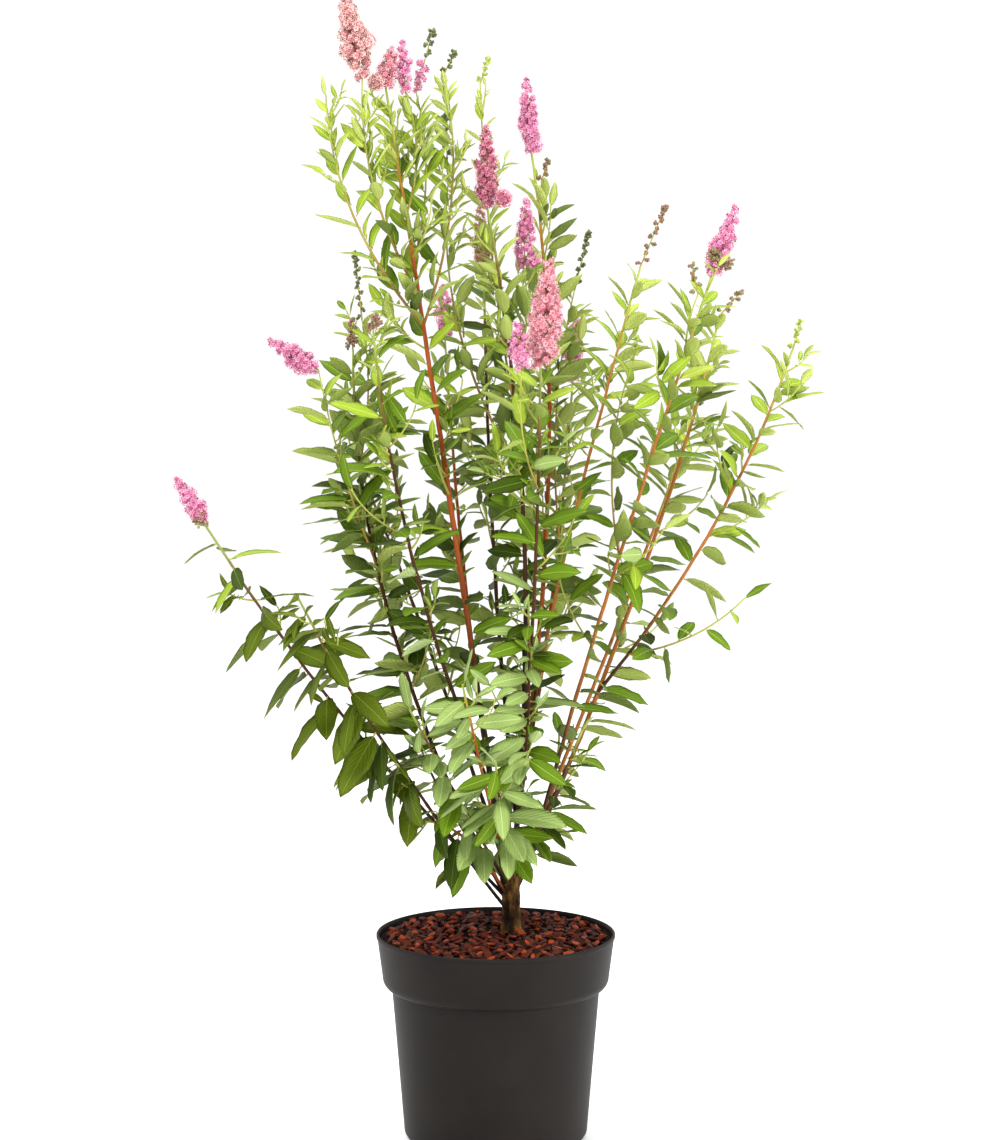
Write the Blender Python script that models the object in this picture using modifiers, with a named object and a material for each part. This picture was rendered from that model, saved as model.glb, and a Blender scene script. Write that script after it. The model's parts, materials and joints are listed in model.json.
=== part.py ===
"""Flowering spirea shrub in a nursery pot, as an assembly of solids.

The pot is a turned shell filled with potting bark. A short trunk stands on the bark and forks into
tapering boughs. Each bough ends where its foliage mass begins: one stem with side shoots, leaves and
flower spikes, all fused into one solid that keeps to its own space.

Units are metres and +Z is up. The origin is the middle of the pot's flat underside, +X is the right
side and -Y is the side that faces the viewer.
"""

import math
import random
from typing import NamedTuple

import bmesh
import bpy
import numpy as np
from mathutils import Matrix, Vector

# Pot
POT_HEIGHT = 0.200
RIM_RADIUS = 0.1155
LIP_HEIGHT = 0.0035
LIP_DEPTH = 0.0010
COLLAR_FOOT_RADIUS = 0.1096
COLLAR_FOOT_Z = 0.1580
SHOULDER_RADIUS = 0.1006
SHOULDER_Z = 0.1475
FOOT_RADIUS = 0.0889
FOOT_ROUNDING = 0.0085
WALL = 0.0020
POT_SIDES = 32
RIM_TOP_SHARE = 0.6
INNER_CORNER_SHARE = 0.6
DRAIN_HOLES = 6
DRAIN_HOLE_RADIUS = 0.0055
DRAIN_HOLE_SIDES = 8
DRAIN_CUTTER_DEPTH = 0.012
DRAIN_CIRCLE_RADIUS = 0.060

# Potting bark
BARK_FILL_Z = 0.1970
BARK_EDGE_DROP = 0.0015
BARK_FLAT_RADIUS = 0.045
BARK_WALL_GAP = 0.0005

# Clearance between pieces that meet, and the steepest edge that is still shaded smooth
GAP = 0.0003
SMOOTH_ANGLE = math.radians(50)

# Trunk, from the flat cut at the bark's surface to its fork
TRUNK_FOOT = Vector((0.016, 0.015, BARK_FILL_Z + GAP))
TRUNK_HEIGHT = 0.0625
TRUNK_LEAN = Vector((-0.003, 0.000, 0.0))
TRUNK_RADIUS = 0.0086
TRUNK_FLARE = 0.0036
TRUNK_FLARE_HEIGHT = 0.009
TRUNK_HEAD_RADIUS = 0.0106
TRUNK_SIDES = 8
TRUNK_RINGS = 6
TRUNK_RING_POWER = 1.8

# Boughs and stems
BOUGH_SIDES = 5
BOUGH_RINGS = 4
STEM_RINGS = 6
SHOOT_RINGS = 3
TWIG_SIDES = 3
TIP_RADIUS = 0.0010
TAPER_POWER = 0.6
THINNEST_TWIG = 0.0015
FORK_SPREAD = 0.0060
FORK_TURN = math.radians(195)
FORK_CLEARANCE = 0.0004
LAST_FORK_SHARE = 0.6
FORK_STEPS = 240
CAPSULES = 24
UPRIGHT_START = 0.0030

# Side shoots, longest low on their stem
SHOOT_PITCH = 0.075
SHOOT_LENGTH = 0.074
SHOOT_LOW_GROWTH = 1.15
SHOOT_TIP_LOSS = 0.6
SHOOT_SIZES = (0.75, 1.15)
SHOOT_STEPS = (0.3, 0.7)
SHOOT_ANGLE = math.radians(42)
SHOOT_RISE = 0.12
SHOOT_BOW = 0.10
SHOOT_CLEARANCE = 0.024
SHOOT_STARTS = 0.22
SHOOT_ENDS = 0.86
SHOOT_GIRTH = 0.55
TALL_SHOOT_GIRTH = 0.70

# Flower spikes, fullest low down, with lobes that wind up them
SPIKE_SINK = 0.0035
SPIKE_LOW_FULLNESS = 1.30
SPIKE_TOP_LOSS = 0.75
SPIKE_LOBES = 3
SPIKE_LOBE_DEPTH = 0.14
SPIKE_LOBE_TWIST = 15.0
LARGE_SPIKE = 0.015
LARGE_SPIKE_FACES = (6, 5)
SMALL_SPIKE_FACES = (5, 4)

# Leaves, long and drooping low on the shrub, short and upright at its tips
GOLDEN_ANGLE = math.radians(137.5)
LEAF_PITCH_LOW = 0.0170
LEAF_PITCH_TOP = 0.0094
LEAF_FIRST_STEP = 0.8
LOW_LEAF_FIRST_STEP = 2.4
LEAF_LAST_STEP = 0.5
LEAF_KEPT_EVERY = 2
LEAF_LENGTH_LOW = 0.061
LEAF_LENGTH_TOP = 0.031
LEAF_LENGTH_POWER = 2.2
LEAF_TIP_LOSS = 0.40
LEAF_SIZES = (0.82, 1.12)
LEAF_LOW_Z = 0.50
LEAF_TOP_Z = 1.02
LEAF_SLENDERNESS = 0.42
LEAF_THICKNESS = 0.045
LEAF_KEEL_SHIFT = -0.06
LEAF_SINK = 0.0003
TIP_LEAF_SINK = 0.0020
LEAF_GROWTH = 1.10
LEAF_ON_SHOOT = 0.86
LEAF_FACES_OUT = 0.75
LEAF_DROOP = 0.09
LEAF_TOP_RISE = 0.26
LEAF_DROOP_RANGE = 0.16
LEAF_ROLL = 0.40
CROWN_MIDDLE = (0.010, 0.030)
CROWN_CORE = 0.060
LEAF_TURNS = 9
LEAF_TURN = math.radians(40)
LEAF_SHRINKS = (1.0, 0.82, 0.66)
LEAF_CLEARANCE = 0.0055
LEAF_NEIGHBOURS = 0.15
LEAF_TEST_WIDTH = 5
LEAF_TEST_SHARES = (0.18, 0.30, 0.42, 0.54, 0.66, 0.78, 0.90, 1.0)
SPREAD_LOW = math.radians(78)
SPREAD_TOP = math.radians(48)
SPREAD_TIP = math.radians(20)
SPACE_MARGIN = 0.0022
LIMB_MARGIN = 0.0020

# Colours and surfaces, read from the photograph
POT_GREY = ((0.045, 0.042, 0.043), 0.45)
BARK_CHIP_BROWN = ((0.13, 0.035, 0.018), 0.90)
TRUNK_BROWN = ((0.16, 0.09, 0.035), 0.85)
BOUGH_RED_BROWN = ((0.28, 0.085, 0.03), 0.70)
LEAF_GREEN = ((0.12, 0.24, 0.035), 0.55)


class Limb(NamedTuple):
    """A leader: its bough, then the stem of its foliage mass, on one curve from foot to tip."""

    name: str
    parent: str  # the trunk or another limb
    fork: float  # share of the parent's curve where it starts
    bend: tuple  # point half way along
    tip: tuple
    girth: float  # radius at its foot
    leafy: float  # share of the curve where the bough ends and the foliage starts
    flower: tuple = ()  # top of the flower spike on its tip
    width: float = 0.0  # width of that spike
    vigour: float = 1.0  # size of its leaves against the usual
    hang: float = 0.0  # how far its leaves turn down, against their length
    sparse: float = 1.0  # distance between its leaves against the usual; over 1 it has no side shoots


class Shoot(NamedTuple):
    """A side shoot that shows by itself against the sky."""

    limb: str
    share: float  # share of the limb's curve where it starts
    tip: tuple
    flower: tuple = ()
    width: float = 0.0


class Bunch(NamedTuple):
    """A side bunch of a large flower spike."""

    limb: str
    centre: tuple
    radius: float


LIMBS = (
    Limb("main", "trunk", 1.0, (-0.046, -0.007, 0.635), (-0.102, -0.030, 1.004), 0.0032, 0.13,
         (-0.096, -0.030, 1.042), 0.024),
    Limb("centre", "trunk", 1.0, (0.027, 0.026, 0.590), (-0.008, 0.020, 0.896), 0.0027, 0.13,
         (-0.009, 0.020, 0.974), 0.027),
    Limb("tall_back", "trunk", 1.0, (0.052, 0.085, 0.640), (0.035, 0.120, 0.957), 0.0026, 0.13,
         (0.030, 0.120, 1.030), 0.024),
    Limb("right_inner", "trunk", 0.55, (0.137, 0.047, 0.527), (0.220, 0.080, 0.796), 0.0024, 0.26,
         (0.241, 0.080, 0.819), 0.012, 0.85),
    Limb("left", "trunk", 0.40, (-0.099, 0.027, 0.489), (-0.138, 0.040, 0.761), 0.0022, 0.19,
         (-0.139, 0.040, 0.791), 0.012),
    Limb("far_left", "trunk", 0.45, (-0.146, -0.042, 0.419), (-0.267, -0.100, 0.603), 0.0018, 0.30,
         (-0.293, -0.100, 0.644), 0.022, 1.06, 0.62, 1.15),
    Limb("low_left", "trunk", 0.25, (-0.098, -0.072, 0.386), (-0.177, -0.150, 0.538), 0.0017, 0.34,
         (), 0.0, 1.08, 0.72, 1.20),
    Limb("back_far_left", "trunk", 0.75, (-0.070, 0.125, 0.470), (-0.150, 0.190, 0.665), 0.0021, 0.20,
         (-0.158, 0.193, 0.700), 0.010),
    Limb("back_far_right", "trunk", 0.65, (0.120, 0.120, 0.480), (0.205, 0.185, 0.700), 0.0021, 0.22,
         (0.215, 0.188, 0.730), 0.010, 0.90),
    Limb("right_main", "right_inner", 0.08, (0.109, -0.013, 0.537), (0.202, -0.040, 0.830), 0.0021, 0.22,
         (0.224, -0.040, 0.895), 0.028, 0.92),
    Limb("salmon", "centre", 0.08, (0.036, -0.042, 0.527), (0.041, -0.100, 0.746), 0.0021, 0.14,
         (0.049, -0.100, 0.843), 0.038),
    Limb("left_inner", "main", 0.10, (-0.074, -0.045, 0.550), (-0.112, -0.090, 0.776), 0.0020, 0.18,
         (-0.108, -0.090, 0.792), 0.012),
    Limb("back_left", "main", 0.05, (-0.030, 0.115, 0.520), (-0.052, 0.190, 0.775), 0.0022, 0.20,
         (-0.055, 0.195, 0.830), 0.022),
    Limb("back", "tall_back", 0.05, (-0.002, 0.120, 0.555), (-0.012, 0.130, 0.843), 0.0023, 0.20,
         (-0.016, 0.130, 0.905), 0.024),
    Limb("back_right", "tall_back", 0.12, (0.058, 0.180, 0.510), (0.080, 0.240, 0.730), 0.0022, 0.20,
         (0.084, 0.246, 0.800), 0.024),
    Limb("bud_right", "tall_back", 0.15, (0.070, 0.036, 0.575), (0.140, 0.060, 0.841), 0.0019, 0.22,
         (0.165, 0.060, 0.901), 0.011, 0.90),
    Limb("right_outer", "right_inner", 0.33, (0.206, 0.000, 0.590), (0.280, -0.020, 0.761), 0.0017, 0.15,
         (0.287, -0.020, 0.788), 0.008, 0.85),
)

# Low shoots that leave the trunk with leaves from their foot, so their whole curve is foliage
LOW_SHOOTS = (
    Limb("low_front", "trunk", 0.80, (-0.008, -0.056, 0.345), (-0.030, -0.112, 0.455), 0.0017, 0.0,
         (), 0.0, 1.05, 0.15),
    Limb("low_front_left", "trunk", 0.62, (-0.036, -0.050, 0.340), (-0.080, -0.082, 0.428), 0.0016, 0.0,
         (), 0.0, 1.05, 0.20),
    Limb("low_front_right", "trunk", 0.72, (0.050, -0.024, 0.325), (0.082, -0.052, 0.405), 0.0016, 0.0,
         (), 0.0, 0.72),
    Limb("low_nearest", "trunk", 0.78, (0.006, -0.056, 0.318), (0.000, -0.124, 0.385), 0.0016, 0.0,
         (), 0.0, 1.00, 0.12),
    Limb("low_middle", "trunk", 0.92, (0.030, -0.022, 0.400), (0.030, -0.054, 0.530), 0.0017, 0.0,
         (), 0.0, 0.90, 0.10),
    Limb("low_side", "trunk", 0.42, (-0.026, -0.022, 0.292), (-0.066, -0.046, 0.316), 0.0015, 0.0,
         (), 0.0, 0.95, 1.20, 0.80),
    Limb("low_back", "trunk", 0.60, (0.014, 0.070, 0.290), (0.020, 0.115, 0.350), 0.0016, 0.0),
    Limb("low_back_left", "trunk", 0.50, (-0.045, 0.060, 0.310), (-0.080, 0.090, 0.380), 0.0016, 0.0),
    Limb("low_back_right", "trunk", 0.50, (0.050, 0.075, 0.300), (0.064, 0.125, 0.375), 0.0016, 0.0,
         (), 0.0, 0.80),
)

SHOOTS = (
    Shoot("main", 0.74, (-0.123, -0.050, 1.010), (-0.140, -0.050, 1.090), 0.034),
    Shoot("main", 0.70, (-0.156, -0.060, 0.994)),
    Shoot("main", 0.84, (-0.084, -0.020, 1.000), (-0.087, -0.020, 1.048), 0.018),
    Shoot("main", 0.78, (-0.075, 0.002, 1.003), (-0.059, 0.004, 1.061), 0.014),
    Shoot("main", 0.70, (-0.049, 0.026, 1.023), (-0.039, 0.026, 1.044), 0.008),
    Shoot("centre", 0.66, (-0.015, 0.060, 1.018), (-0.007, 0.060, 1.042), 0.008),
    Shoot("centre", 0.58, (-0.046, 0.060, 0.925), (-0.049, 0.060, 0.990), 0.007),
    Shoot("centre", 0.72, (0.027, 0.050, 0.840), (0.030, 0.050, 0.907), 0.026),
    Shoot("salmon", 0.74, (0.024, -0.125, 0.742), (0.019, -0.128, 0.785), 0.022),
    Shoot("tall_back", 0.86, (0.045, 0.120, 0.928), (0.052, 0.120, 0.950), 0.009),
    Shoot("bud_right", 0.45, (0.079, 0.140, 0.822), (0.093, 0.145, 0.880), 0.009),
    Shoot("right_main", 0.55, (0.131, 0.006, 0.750), (0.135, 0.006, 0.773), 0.008),
    Shoot("right_main", 0.88, (0.188, -0.050, 0.812), (0.182, -0.052, 0.840), 0.012),
    Shoot("left", 0.62, (-0.167, -0.020, 0.742), (-0.214, -0.020, 0.770), 0.026),
    Shoot("left", 0.80, (-0.131, 0.075, 0.791), (-0.138, 0.080, 0.856), 0.008),
    Shoot("right_outer", 0.12, (0.233, -0.060, 0.530)),
)

BUNCHES = (
    Bunch("main", (-0.119, -0.050, 1.043), 0.0080),
    Bunch("main", (-0.111, -0.036, 1.008), 0.0080),
    Bunch("centre", (0.007, 0.010, 0.904), 0.0085),
    Bunch("centre", (0.038, 0.046, 0.846), 0.0070),
    Bunch("tall_back", (0.038, 0.116, 0.963), 0.0075),
    Bunch("right_main", (0.214, -0.046, 0.842), 0.0080),
)


class Leaf(NamedTuple):
    """A leaf's root on its twig, its axes and its length."""

    root: Vector
    along: Vector
    normal: Vector
    length: float


class Twig(NamedTuple):
    """The centreline of a stem or side shoot, its radii, and the flower spike on its tip."""

    points: list
    radii: list
    flower: Vector | None
    width: float


class Mass:
    """The foliage of one limb: its twigs, and the leaves that fit its space."""

    def __init__(self, limb, stem):
        self.limb = limb
        self.twigs = [stem]
        self.leaves = []

    def bones(self):
        """Both ends and the radius of every straight piece of its twigs and flower spikes."""
        starts = []
        ends = []
        radii = []
        for twig in self.twigs:
            starts += twig.points[:-1]
            ends += twig.points[1:]
            radii += [THINNEST_TWIG] * (len(twig.points) - 1)
            if twig.flower:
                starts.append(twig.points[-1])
                ends.append(twig.flower)
                radii.append(0.5 * twig.width)
        return np.array(starts), np.array(ends), np.array(radii)


def clear_scene():
    """Removes whatever the open file holds."""
    for obj in list(bpy.data.objects):
        bpy.data.objects.remove(obj, do_unlink=True)


def make_material(name, finish):
    """A plain surface of one colour and roughness."""
    colour, roughness = finish
    material = bpy.data.materials.new(name)
    material.use_nodes = True
    shader = material.node_tree.nodes["Principled BSDF"]
    shader.inputs["Base Color"].default_value = (*colour, 1.0)
    shader.inputs["Roughness"].default_value = roughness
    shader.inputs["Metallic"].default_value = 0.0
    return material


def distances(points, starts, ends):
    """Distance from each point to each straight piece."""
    points = np.asarray(points, float).reshape(-1, 1, 3)
    span = ends - starts
    reach = np.maximum((span**2).sum(axis=1), 1e-12)
    share = np.clip(((points - starts) * span).sum(axis=2) / reach, 0.0, 1.0)
    return np.linalg.norm(points - (starts + share[..., None] * span), axis=2)


def curve_point(foot, bend, tip, share):
    """A point on the curve from foot to tip that passes bend half way."""
    share = float(share)
    control = 2.0 * bend - 0.5 * (foot + tip)
    rest = 1.0 - share
    return rest * rest * foot + 2.0 * rest * share * control + share * share * tip


def sideways(axis, turn):
    """A unit vector square to axis, at the angle turn around it."""
    across = axis.cross(Vector((0.0, 1.0, 0.0)))
    if across.length < 0.1:
        across = axis.cross(Vector((1.0, 0.0, 0.0)))
    across.normalize()
    return Matrix.Rotation(turn, 3, axis) @ across


def trunk_point(share):
    """The trunk's centreline, upright at the cut and leaning above it."""
    share = float(share)
    lean = TRUNK_LEAN * share * share
    return TRUNK_FOOT + lean + Vector((0.0, 0.0, TRUNK_HEIGHT * share))


def trunk_radius(share):
    """The flare at the cut, the shaft, and the swelling under the fork."""
    flare = TRUNK_FLARE * math.exp(-share * TRUNK_HEIGHT / TRUNK_FLARE_HEIGHT)
    head = (TRUNK_HEAD_RADIUS - TRUNK_RADIUS) * share**3
    return TRUNK_RADIUS + flare + head


class Skeleton:
    """Every limb's curve and radius, and where its solid starts clear of what carries it."""

    def __init__(self):
        self.feet = {}
        self.starts = {}
        self.limbs = {limb.name: limb for limb in LIMBS + LOW_SHOOTS}
        self.placed = {"trunk": self.capsules(trunk_point, trunk_radius, 0.0, 1.0)}
        self.place_feet()

    def capsules(self, point, radius, first, last):
        """Straight pieces with a radius that stand for a limb in the clearance tests."""
        shares = np.linspace(first, last, CAPSULES + 1)
        points = np.array([point(share) for share in shares])
        radii = np.array([radius(share) for share in shares])
        return points[:-1], points[1:], np.maximum(radii[:-1], radii[1:])

    def point(self, name, share):
        """A point on a limb's centreline."""
        if name == "trunk":
            return trunk_point(share)
        limb = self.limbs[name]
        return curve_point(self.feet[name], Vector(limb.bend), Vector(limb.tip), share)

    def radius(self, name, share):
        """A limb's radius, tapering from its foot to a thin tip."""
        if name == "trunk":
            return trunk_radius(share)
        girth = self.limbs[name].girth
        return TIP_RADIUS + (girth - TIP_RADIUS) * (1.0 - share) ** TAPER_POWER

    def direction(self, name, share):
        """The unit direction of a limb's centreline, towards its tip."""
        step = 0.01
        return (self.point(name, share + step) - self.point(name, share - step)).normalized()

    def bough(self, name):
        """The straight pieces that stand for a limb's bough."""
        return self.capsules(
            lambda share: self.point(name, share),
            lambda share: self.radius(name, share),
            self.starts[name],
            max(self.limbs[name].leafy, self.starts[name]),
        )

    def place_feet(self):
        """Limbs at the trunk's fork stand in a ring on its head. The others leave their parent's side."""
        ring = [limb for limb in LIMBS if limb.parent == "trunk" and limb.fork == 1.0]
        for limb in self.limbs.values():
            if limb in ring:
                turn = FORK_TURN + 2.0 * math.pi * ring.index(limb) / len(ring)
                out = Vector((math.cos(turn), math.sin(turn), 0.0)) * FORK_SPREAD
                self.feet[limb.name] = trunk_point(1.0) + out + Vector((0.0, 0.0, GAP))
                self.starts[limb.name] = 0.0
            else:
                self.feet[limb.name] = self.point(limb.parent, limb.fork)
                self.starts[limb.name] = self.clear_start(limb.name)
            self.placed[limb.name] = self.capsules(
                lambda share, name=limb.name: self.point(name, share),
                lambda share, name=limb.name: self.radius(name, share),
                self.starts[limb.name],
                1.0,
            )

    def clear_start(self, name):
        """The first share of the curve from which the limb stands clear of those already placed."""
        shares = np.linspace(0.0, LAST_FORK_SHARE, FORK_STEPS + 1)
        points = [self.point(name, share) for share in shares]
        radii = np.array([self.radius(name, share) for share in shares])
        clear = np.ones(len(shares), bool)
        for starts, ends, girths in self.placed.values():
            gaps = distances(points, starts, ends) - girths - radii[:, None]
            clear &= gaps.min(axis=1) > FORK_CLEARANCE
        blocked = np.flatnonzero(~clear)
        return float(shares[blocked[-1] + 1]) if len(blocked) else 0.0

    def polyline(self, name, first, last, rings):
        """Points and radii along part of a limb."""
        shares = np.linspace(first, last, rings + 1)
        points = [self.point(name, share) for share in shares]
        radii = [self.radius(name, share) for share in shares]
        return points, radii


def link(obj, collection):
    """Puts an object in a collection and returns it."""
    collection.objects.link(obj)
    return obj


def make_profile(sides):
    """A closed polygon of unit radius, which a curve sweeps as its bevel."""
    curve = bpy.data.curves.new(f"section_{sides}", "CURVE")
    curve.dimensions = "2D"
    curve.fill_mode = "NONE"
    spline = curve.splines.new("POLY")
    spline.points.add(sides - 1)
    for index, point in enumerate(spline.points):
        turn = 2.0 * math.pi * index / sides
        point.co = (math.cos(turn), math.sin(turn), 0.0, 1.0)
    spline.use_cyclic_u = True
    profile = bpy.data.objects.new(curve.name, curve)
    profile.hide_render = True
    profile.display_type = "WIRE"
    return profile


def make_tube(name, points, radii, profile, collection):
    """A tapering tube with closed ends, made as a swept curve and turned into a mesh."""
    curve = bpy.data.curves.new(name, "CURVE")
    curve.dimensions = "3D"
    curve.bevel_mode = "OBJECT"
    curve.bevel_object = profile
    curve.use_fill_caps = True
    spline = curve.splines.new("POLY")
    spline.points.add(len(points) - 1)
    for knot, point, radius in zip(spline.points, points, radii):
        knot.co = (*point, 1.0)
        knot.radius = radius
    guide = link(bpy.data.objects.new(name, curve), bpy.context.scene.collection)
    mesh = evaluated_mesh(guide)
    bpy.data.objects.remove(guide)
    mesh.name = name
    weld_and_turn_out(mesh)
    shade_round(mesh)
    return link(bpy.data.objects.new(name, mesh), collection)


def weld_and_turn_out(mesh):
    """Joins a tube's caps to its sides and points its faces outwards."""
    work = bmesh.new()
    work.from_mesh(mesh)
    bmesh.ops.remove_doubles(work, verts=work.verts, dist=1e-6)
    bmesh.ops.recalc_face_normals(work, faces=work.faces)
    work.to_mesh(mesh)
    work.free()


def shade_round(mesh):
    """Shades a mesh smooth up to the edges that are really sharp."""
    mesh.shade_smooth()
    mesh.set_sharp_from_angle(angle=SMOOTH_ANGLE)


def evaluated_mesh(obj):
    """A mesh of an object as its modifiers or its curve make it."""
    bpy.context.view_layer.update()
    graph = bpy.context.evaluated_depsgraph_get()
    return bpy.data.meshes.new_from_object(obj.evaluated_get(graph))


def settle(obj):
    """Applies an object's modifiers and shades it as a round piece."""
    mesh = evaluated_mesh(obj)
    mesh.name = obj.name
    obj.modifiers.clear()
    obj.data = mesh
    shade_round(mesh)


def turned(name, profile, material, collection):
    """A solid turned about the pot's axis from a profile of (radius, height) points."""
    mesh = bpy.data.meshes.new(name)
    edges = [(index, index + 1) for index in range(len(profile) - 1)]
    mesh.from_pydata([(radius, 0.0, height) for radius, height in profile], edges, [])
    obj = link(bpy.data.objects.new(name, mesh), collection)
    screw = obj.modifiers.new("turn", "SCREW")
    screw.steps = screw.render_steps = POT_SIDES
    screw.use_merge_vertices = True
    screw.merge_threshold = 1e-5
    mesh.materials.append(material)
    return obj


def inner_wall():
    """The pot's inner profile, from the middle of its floor to under its rim."""
    corner = INNER_CORNER_SHARE * FOOT_ROUNDING
    return [
        (0.0, WALL),
        (FOOT_RADIUS - WALL - corner, WALL),
        (FOOT_RADIUS - WALL, WALL + corner),
        (SHOULDER_RADIUS - WALL, SHOULDER_Z + WALL),
        (COLLAR_FOOT_RADIUS - WALL, COLLAR_FOOT_Z - WALL),
        (RIM_RADIUS - LIP_DEPTH - WALL, POT_HEIGHT - LIP_HEIGHT),
    ]


def rounded(centre, radii, first, last, pieces):
    """Points on a quarter arc of a profile, between two angles in degrees."""
    angles = [math.radians(first + (last - first) * n / pieces) for n in range(pieces + 1)]
    return [
        (centre[0] + radii[0] * math.cos(angle), centre[1] + radii[1] * math.sin(angle))
        for angle in angles
    ]


def outer_wall():
    """The pot's outer profile, from its rim down the collar and the body to the underside."""
    step = (COLLAR_FOOT_RADIUS - SHOULDER_RADIUS, COLLAR_FOOT_Z - SHOULDER_Z)
    foot = (FOOT_ROUNDING, FOOT_ROUNDING)
    return [
        (RIM_RADIUS - LIP_DEPTH - RIM_TOP_SHARE * WALL, POT_HEIGHT),
        (RIM_RADIUS, POT_HEIGHT),
        (RIM_RADIUS, POT_HEIGHT - LIP_HEIGHT),
        (RIM_RADIUS - LIP_DEPTH, POT_HEIGHT - LIP_HEIGHT - LIP_DEPTH),
        *rounded((SHOULDER_RADIUS, COLLAR_FOOT_Z), step, 0.0, -90.0, 2),
        *rounded((FOOT_RADIUS - FOOT_ROUNDING, FOOT_ROUNDING), foot, 0.0, -90.0, 2),
        (0.0, 0.0),
    ]


def make_pot(material, collection, cutters):
    """The pot's shell with its drain holes."""
    pot = turned("pot", inner_wall() + outer_wall(), material, collection)
    work = bmesh.new()
    for index in range(DRAIN_HOLES):
        turn = 2.0 * math.pi * (index + 0.5) / DRAIN_HOLES
        place = Vector((math.cos(turn), math.sin(turn), 0.0)) * DRAIN_CIRCLE_RADIUS
        bmesh.ops.create_cone(
            work,
            cap_ends=True,
            segments=DRAIN_HOLE_SIDES,
            radius1=DRAIN_HOLE_RADIUS,
            radius2=DRAIN_HOLE_RADIUS,
            depth=DRAIN_CUTTER_DEPTH,
            matrix=Matrix.Translation(place),
        )
    mesh = bpy.data.meshes.new("drain_hole_cutters")
    work.to_mesh(mesh)
    work.free()
    cutter = link(bpy.data.objects.new(mesh.name, mesh), cutters)
    cut = pot.modifiers.new("drain_holes", "BOOLEAN")
    cut.operation = "DIFFERENCE"
    cut.object = cutter
    settle(pot)
    bpy.data.objects.remove(cutter)


def make_potting_bark(material, collection):
    """The fill, which follows the pot's inner wall a hair inside it, with a nearly flat top."""
    wall = [
        (max(radius - BARK_WALL_GAP, 0.0), height + BARK_WALL_GAP) for radius, height in inner_wall()
    ]
    edge_z = BARK_FILL_Z - BARK_EDGE_DROP
    (low_radius, low_z), (top_radius, top_z) = wall[-2:]
    share = (edge_z - low_z) / (top_z - low_z)
    edge = (low_radius + (top_radius - low_radius) * share, edge_z)
    top = [(0.0, BARK_FILL_Z), (BARK_FLAT_RADIUS, BARK_FILL_Z)]
    settle(turned("potting_bark", top + [edge] + wall[-2::-1], material, collection))


def make_twig(points, foot_radius, source):
    """A twig that tapers from its foot radius, with its source's flower spike if that has one."""
    last = len(points) - 1
    radii = [foot_radius + (TIP_RADIUS - foot_radius) * n / last for n in range(last + 1)]
    flower = Vector(source.flower) if source and source.flower else None
    return Twig(points, radii, flower, source.width if source else 0.0)


def shoot_points(root, out, tip):
    """A side shoot that leaves its stem outwards and turns up towards its tip."""
    span = (tip - root).length
    bend = 0.5 * (root + tip) + out * (SHOOT_BOW * span)
    return [curve_point(root, bend, tip, n / SHOOT_RINGS) for n in range(SHOOT_RINGS + 1)]


def grow_listed_shoots(mass, skeleton):
    """Adds the side shoots that are listed for this limb."""
    for shoot in SHOOTS:
        if shoot.limb != mass.limb.name:
            continue
        root = skeleton.point(shoot.limb, shoot.share)
        axis = skeleton.direction(shoot.limb, shoot.share)
        tip = Vector(shoot.tip)
        out = (tip - root) - axis * (tip - root).dot(axis)
        radius = TALL_SHOOT_GIRTH * skeleton.radius(shoot.limb, shoot.share)
        mass.twigs.append(make_twig(shoot_points(root, out.normalized(), tip), radius, shoot))


def grow_side_shoots(mass, masses, skeleton):
    """Adds leafy side shoots by a seeded rule, where they stay clear of boughs and other masses."""
    limb = mass.limb
    if limb.sparse > 1.0:
        return
    stem = mass.twigs[0].points
    length = sum((b - a).length for a, b in zip(stem, stem[1:]))
    others = [other.bones() for other in masses if other is not mass]
    others += [skeleton.bough(name) for name in skeleton.limbs if name != limb.name]
    others.append(skeleton.placed["trunk"])
    starts, ends, _ = (np.concatenate(arrays) for arrays in zip(*others))
    chance = random.Random(f"shoots of {limb.name}")
    turn = chance.uniform(0.0, 2.0 * math.pi)
    for index in range(int(length / SHOOT_PITCH)):
        turn += GOLDEN_ANGLE
        share = (index + chance.uniform(*SHOOT_STEPS)) * SHOOT_PITCH / length
        growth = SHOOT_LOW_GROWTH - SHOOT_TIP_LOSS * share
        size = SHOOT_LENGTH * growth * chance.uniform(*SHOOT_SIZES)
        if not SHOOT_STARTS < share < SHOOT_ENDS:
            continue
        where = limb.leafy + (1.0 - limb.leafy) * share
        root = skeleton.point(limb.name, where)
        axis = skeleton.direction(limb.name, where)
        out = sideways(axis, turn)
        heading = axis * math.cos(SHOOT_ANGLE) + out * math.sin(SHOOT_ANGLE)
        heading.z += SHOOT_RISE
        points = shoot_points(root, out, root + heading * size)
        if distances(points[1:], starts, ends).min() > SHOOT_CLEARANCE:
            radius = SHOOT_GIRTH * skeleton.radius(limb.name, where)
            mass.twigs.append(make_twig(points, radius, None))


def leaf_points(leaf):
    """Points all over a leaf in rows from its root to its tip, which show whether it fits its space."""
    across = leaf.normal.cross(leaf.along)
    points = []
    for share in LEAF_TEST_SHARES:
        middle = leaf.root + leaf.along * (leaf.length * share)
        half = 0.5 * leaf.length * LEAF_SLENDERNESS * (1.0 - abs(2.0 * share - 1.0))
        points += [middle + across * (half * side) for side in np.linspace(-1.0, 1.0, LEAF_TEST_WIDTH)]
    return np.array(points)


def youth_of(height):
    """How young the growth at a height is: 0 low on the shrub, 1 at its top."""
    share = (height - LEAF_LOW_Z) / (LEAF_TOP_Z - LEAF_LOW_Z)
    return min(max(share, 0.0), 1.0)


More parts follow.
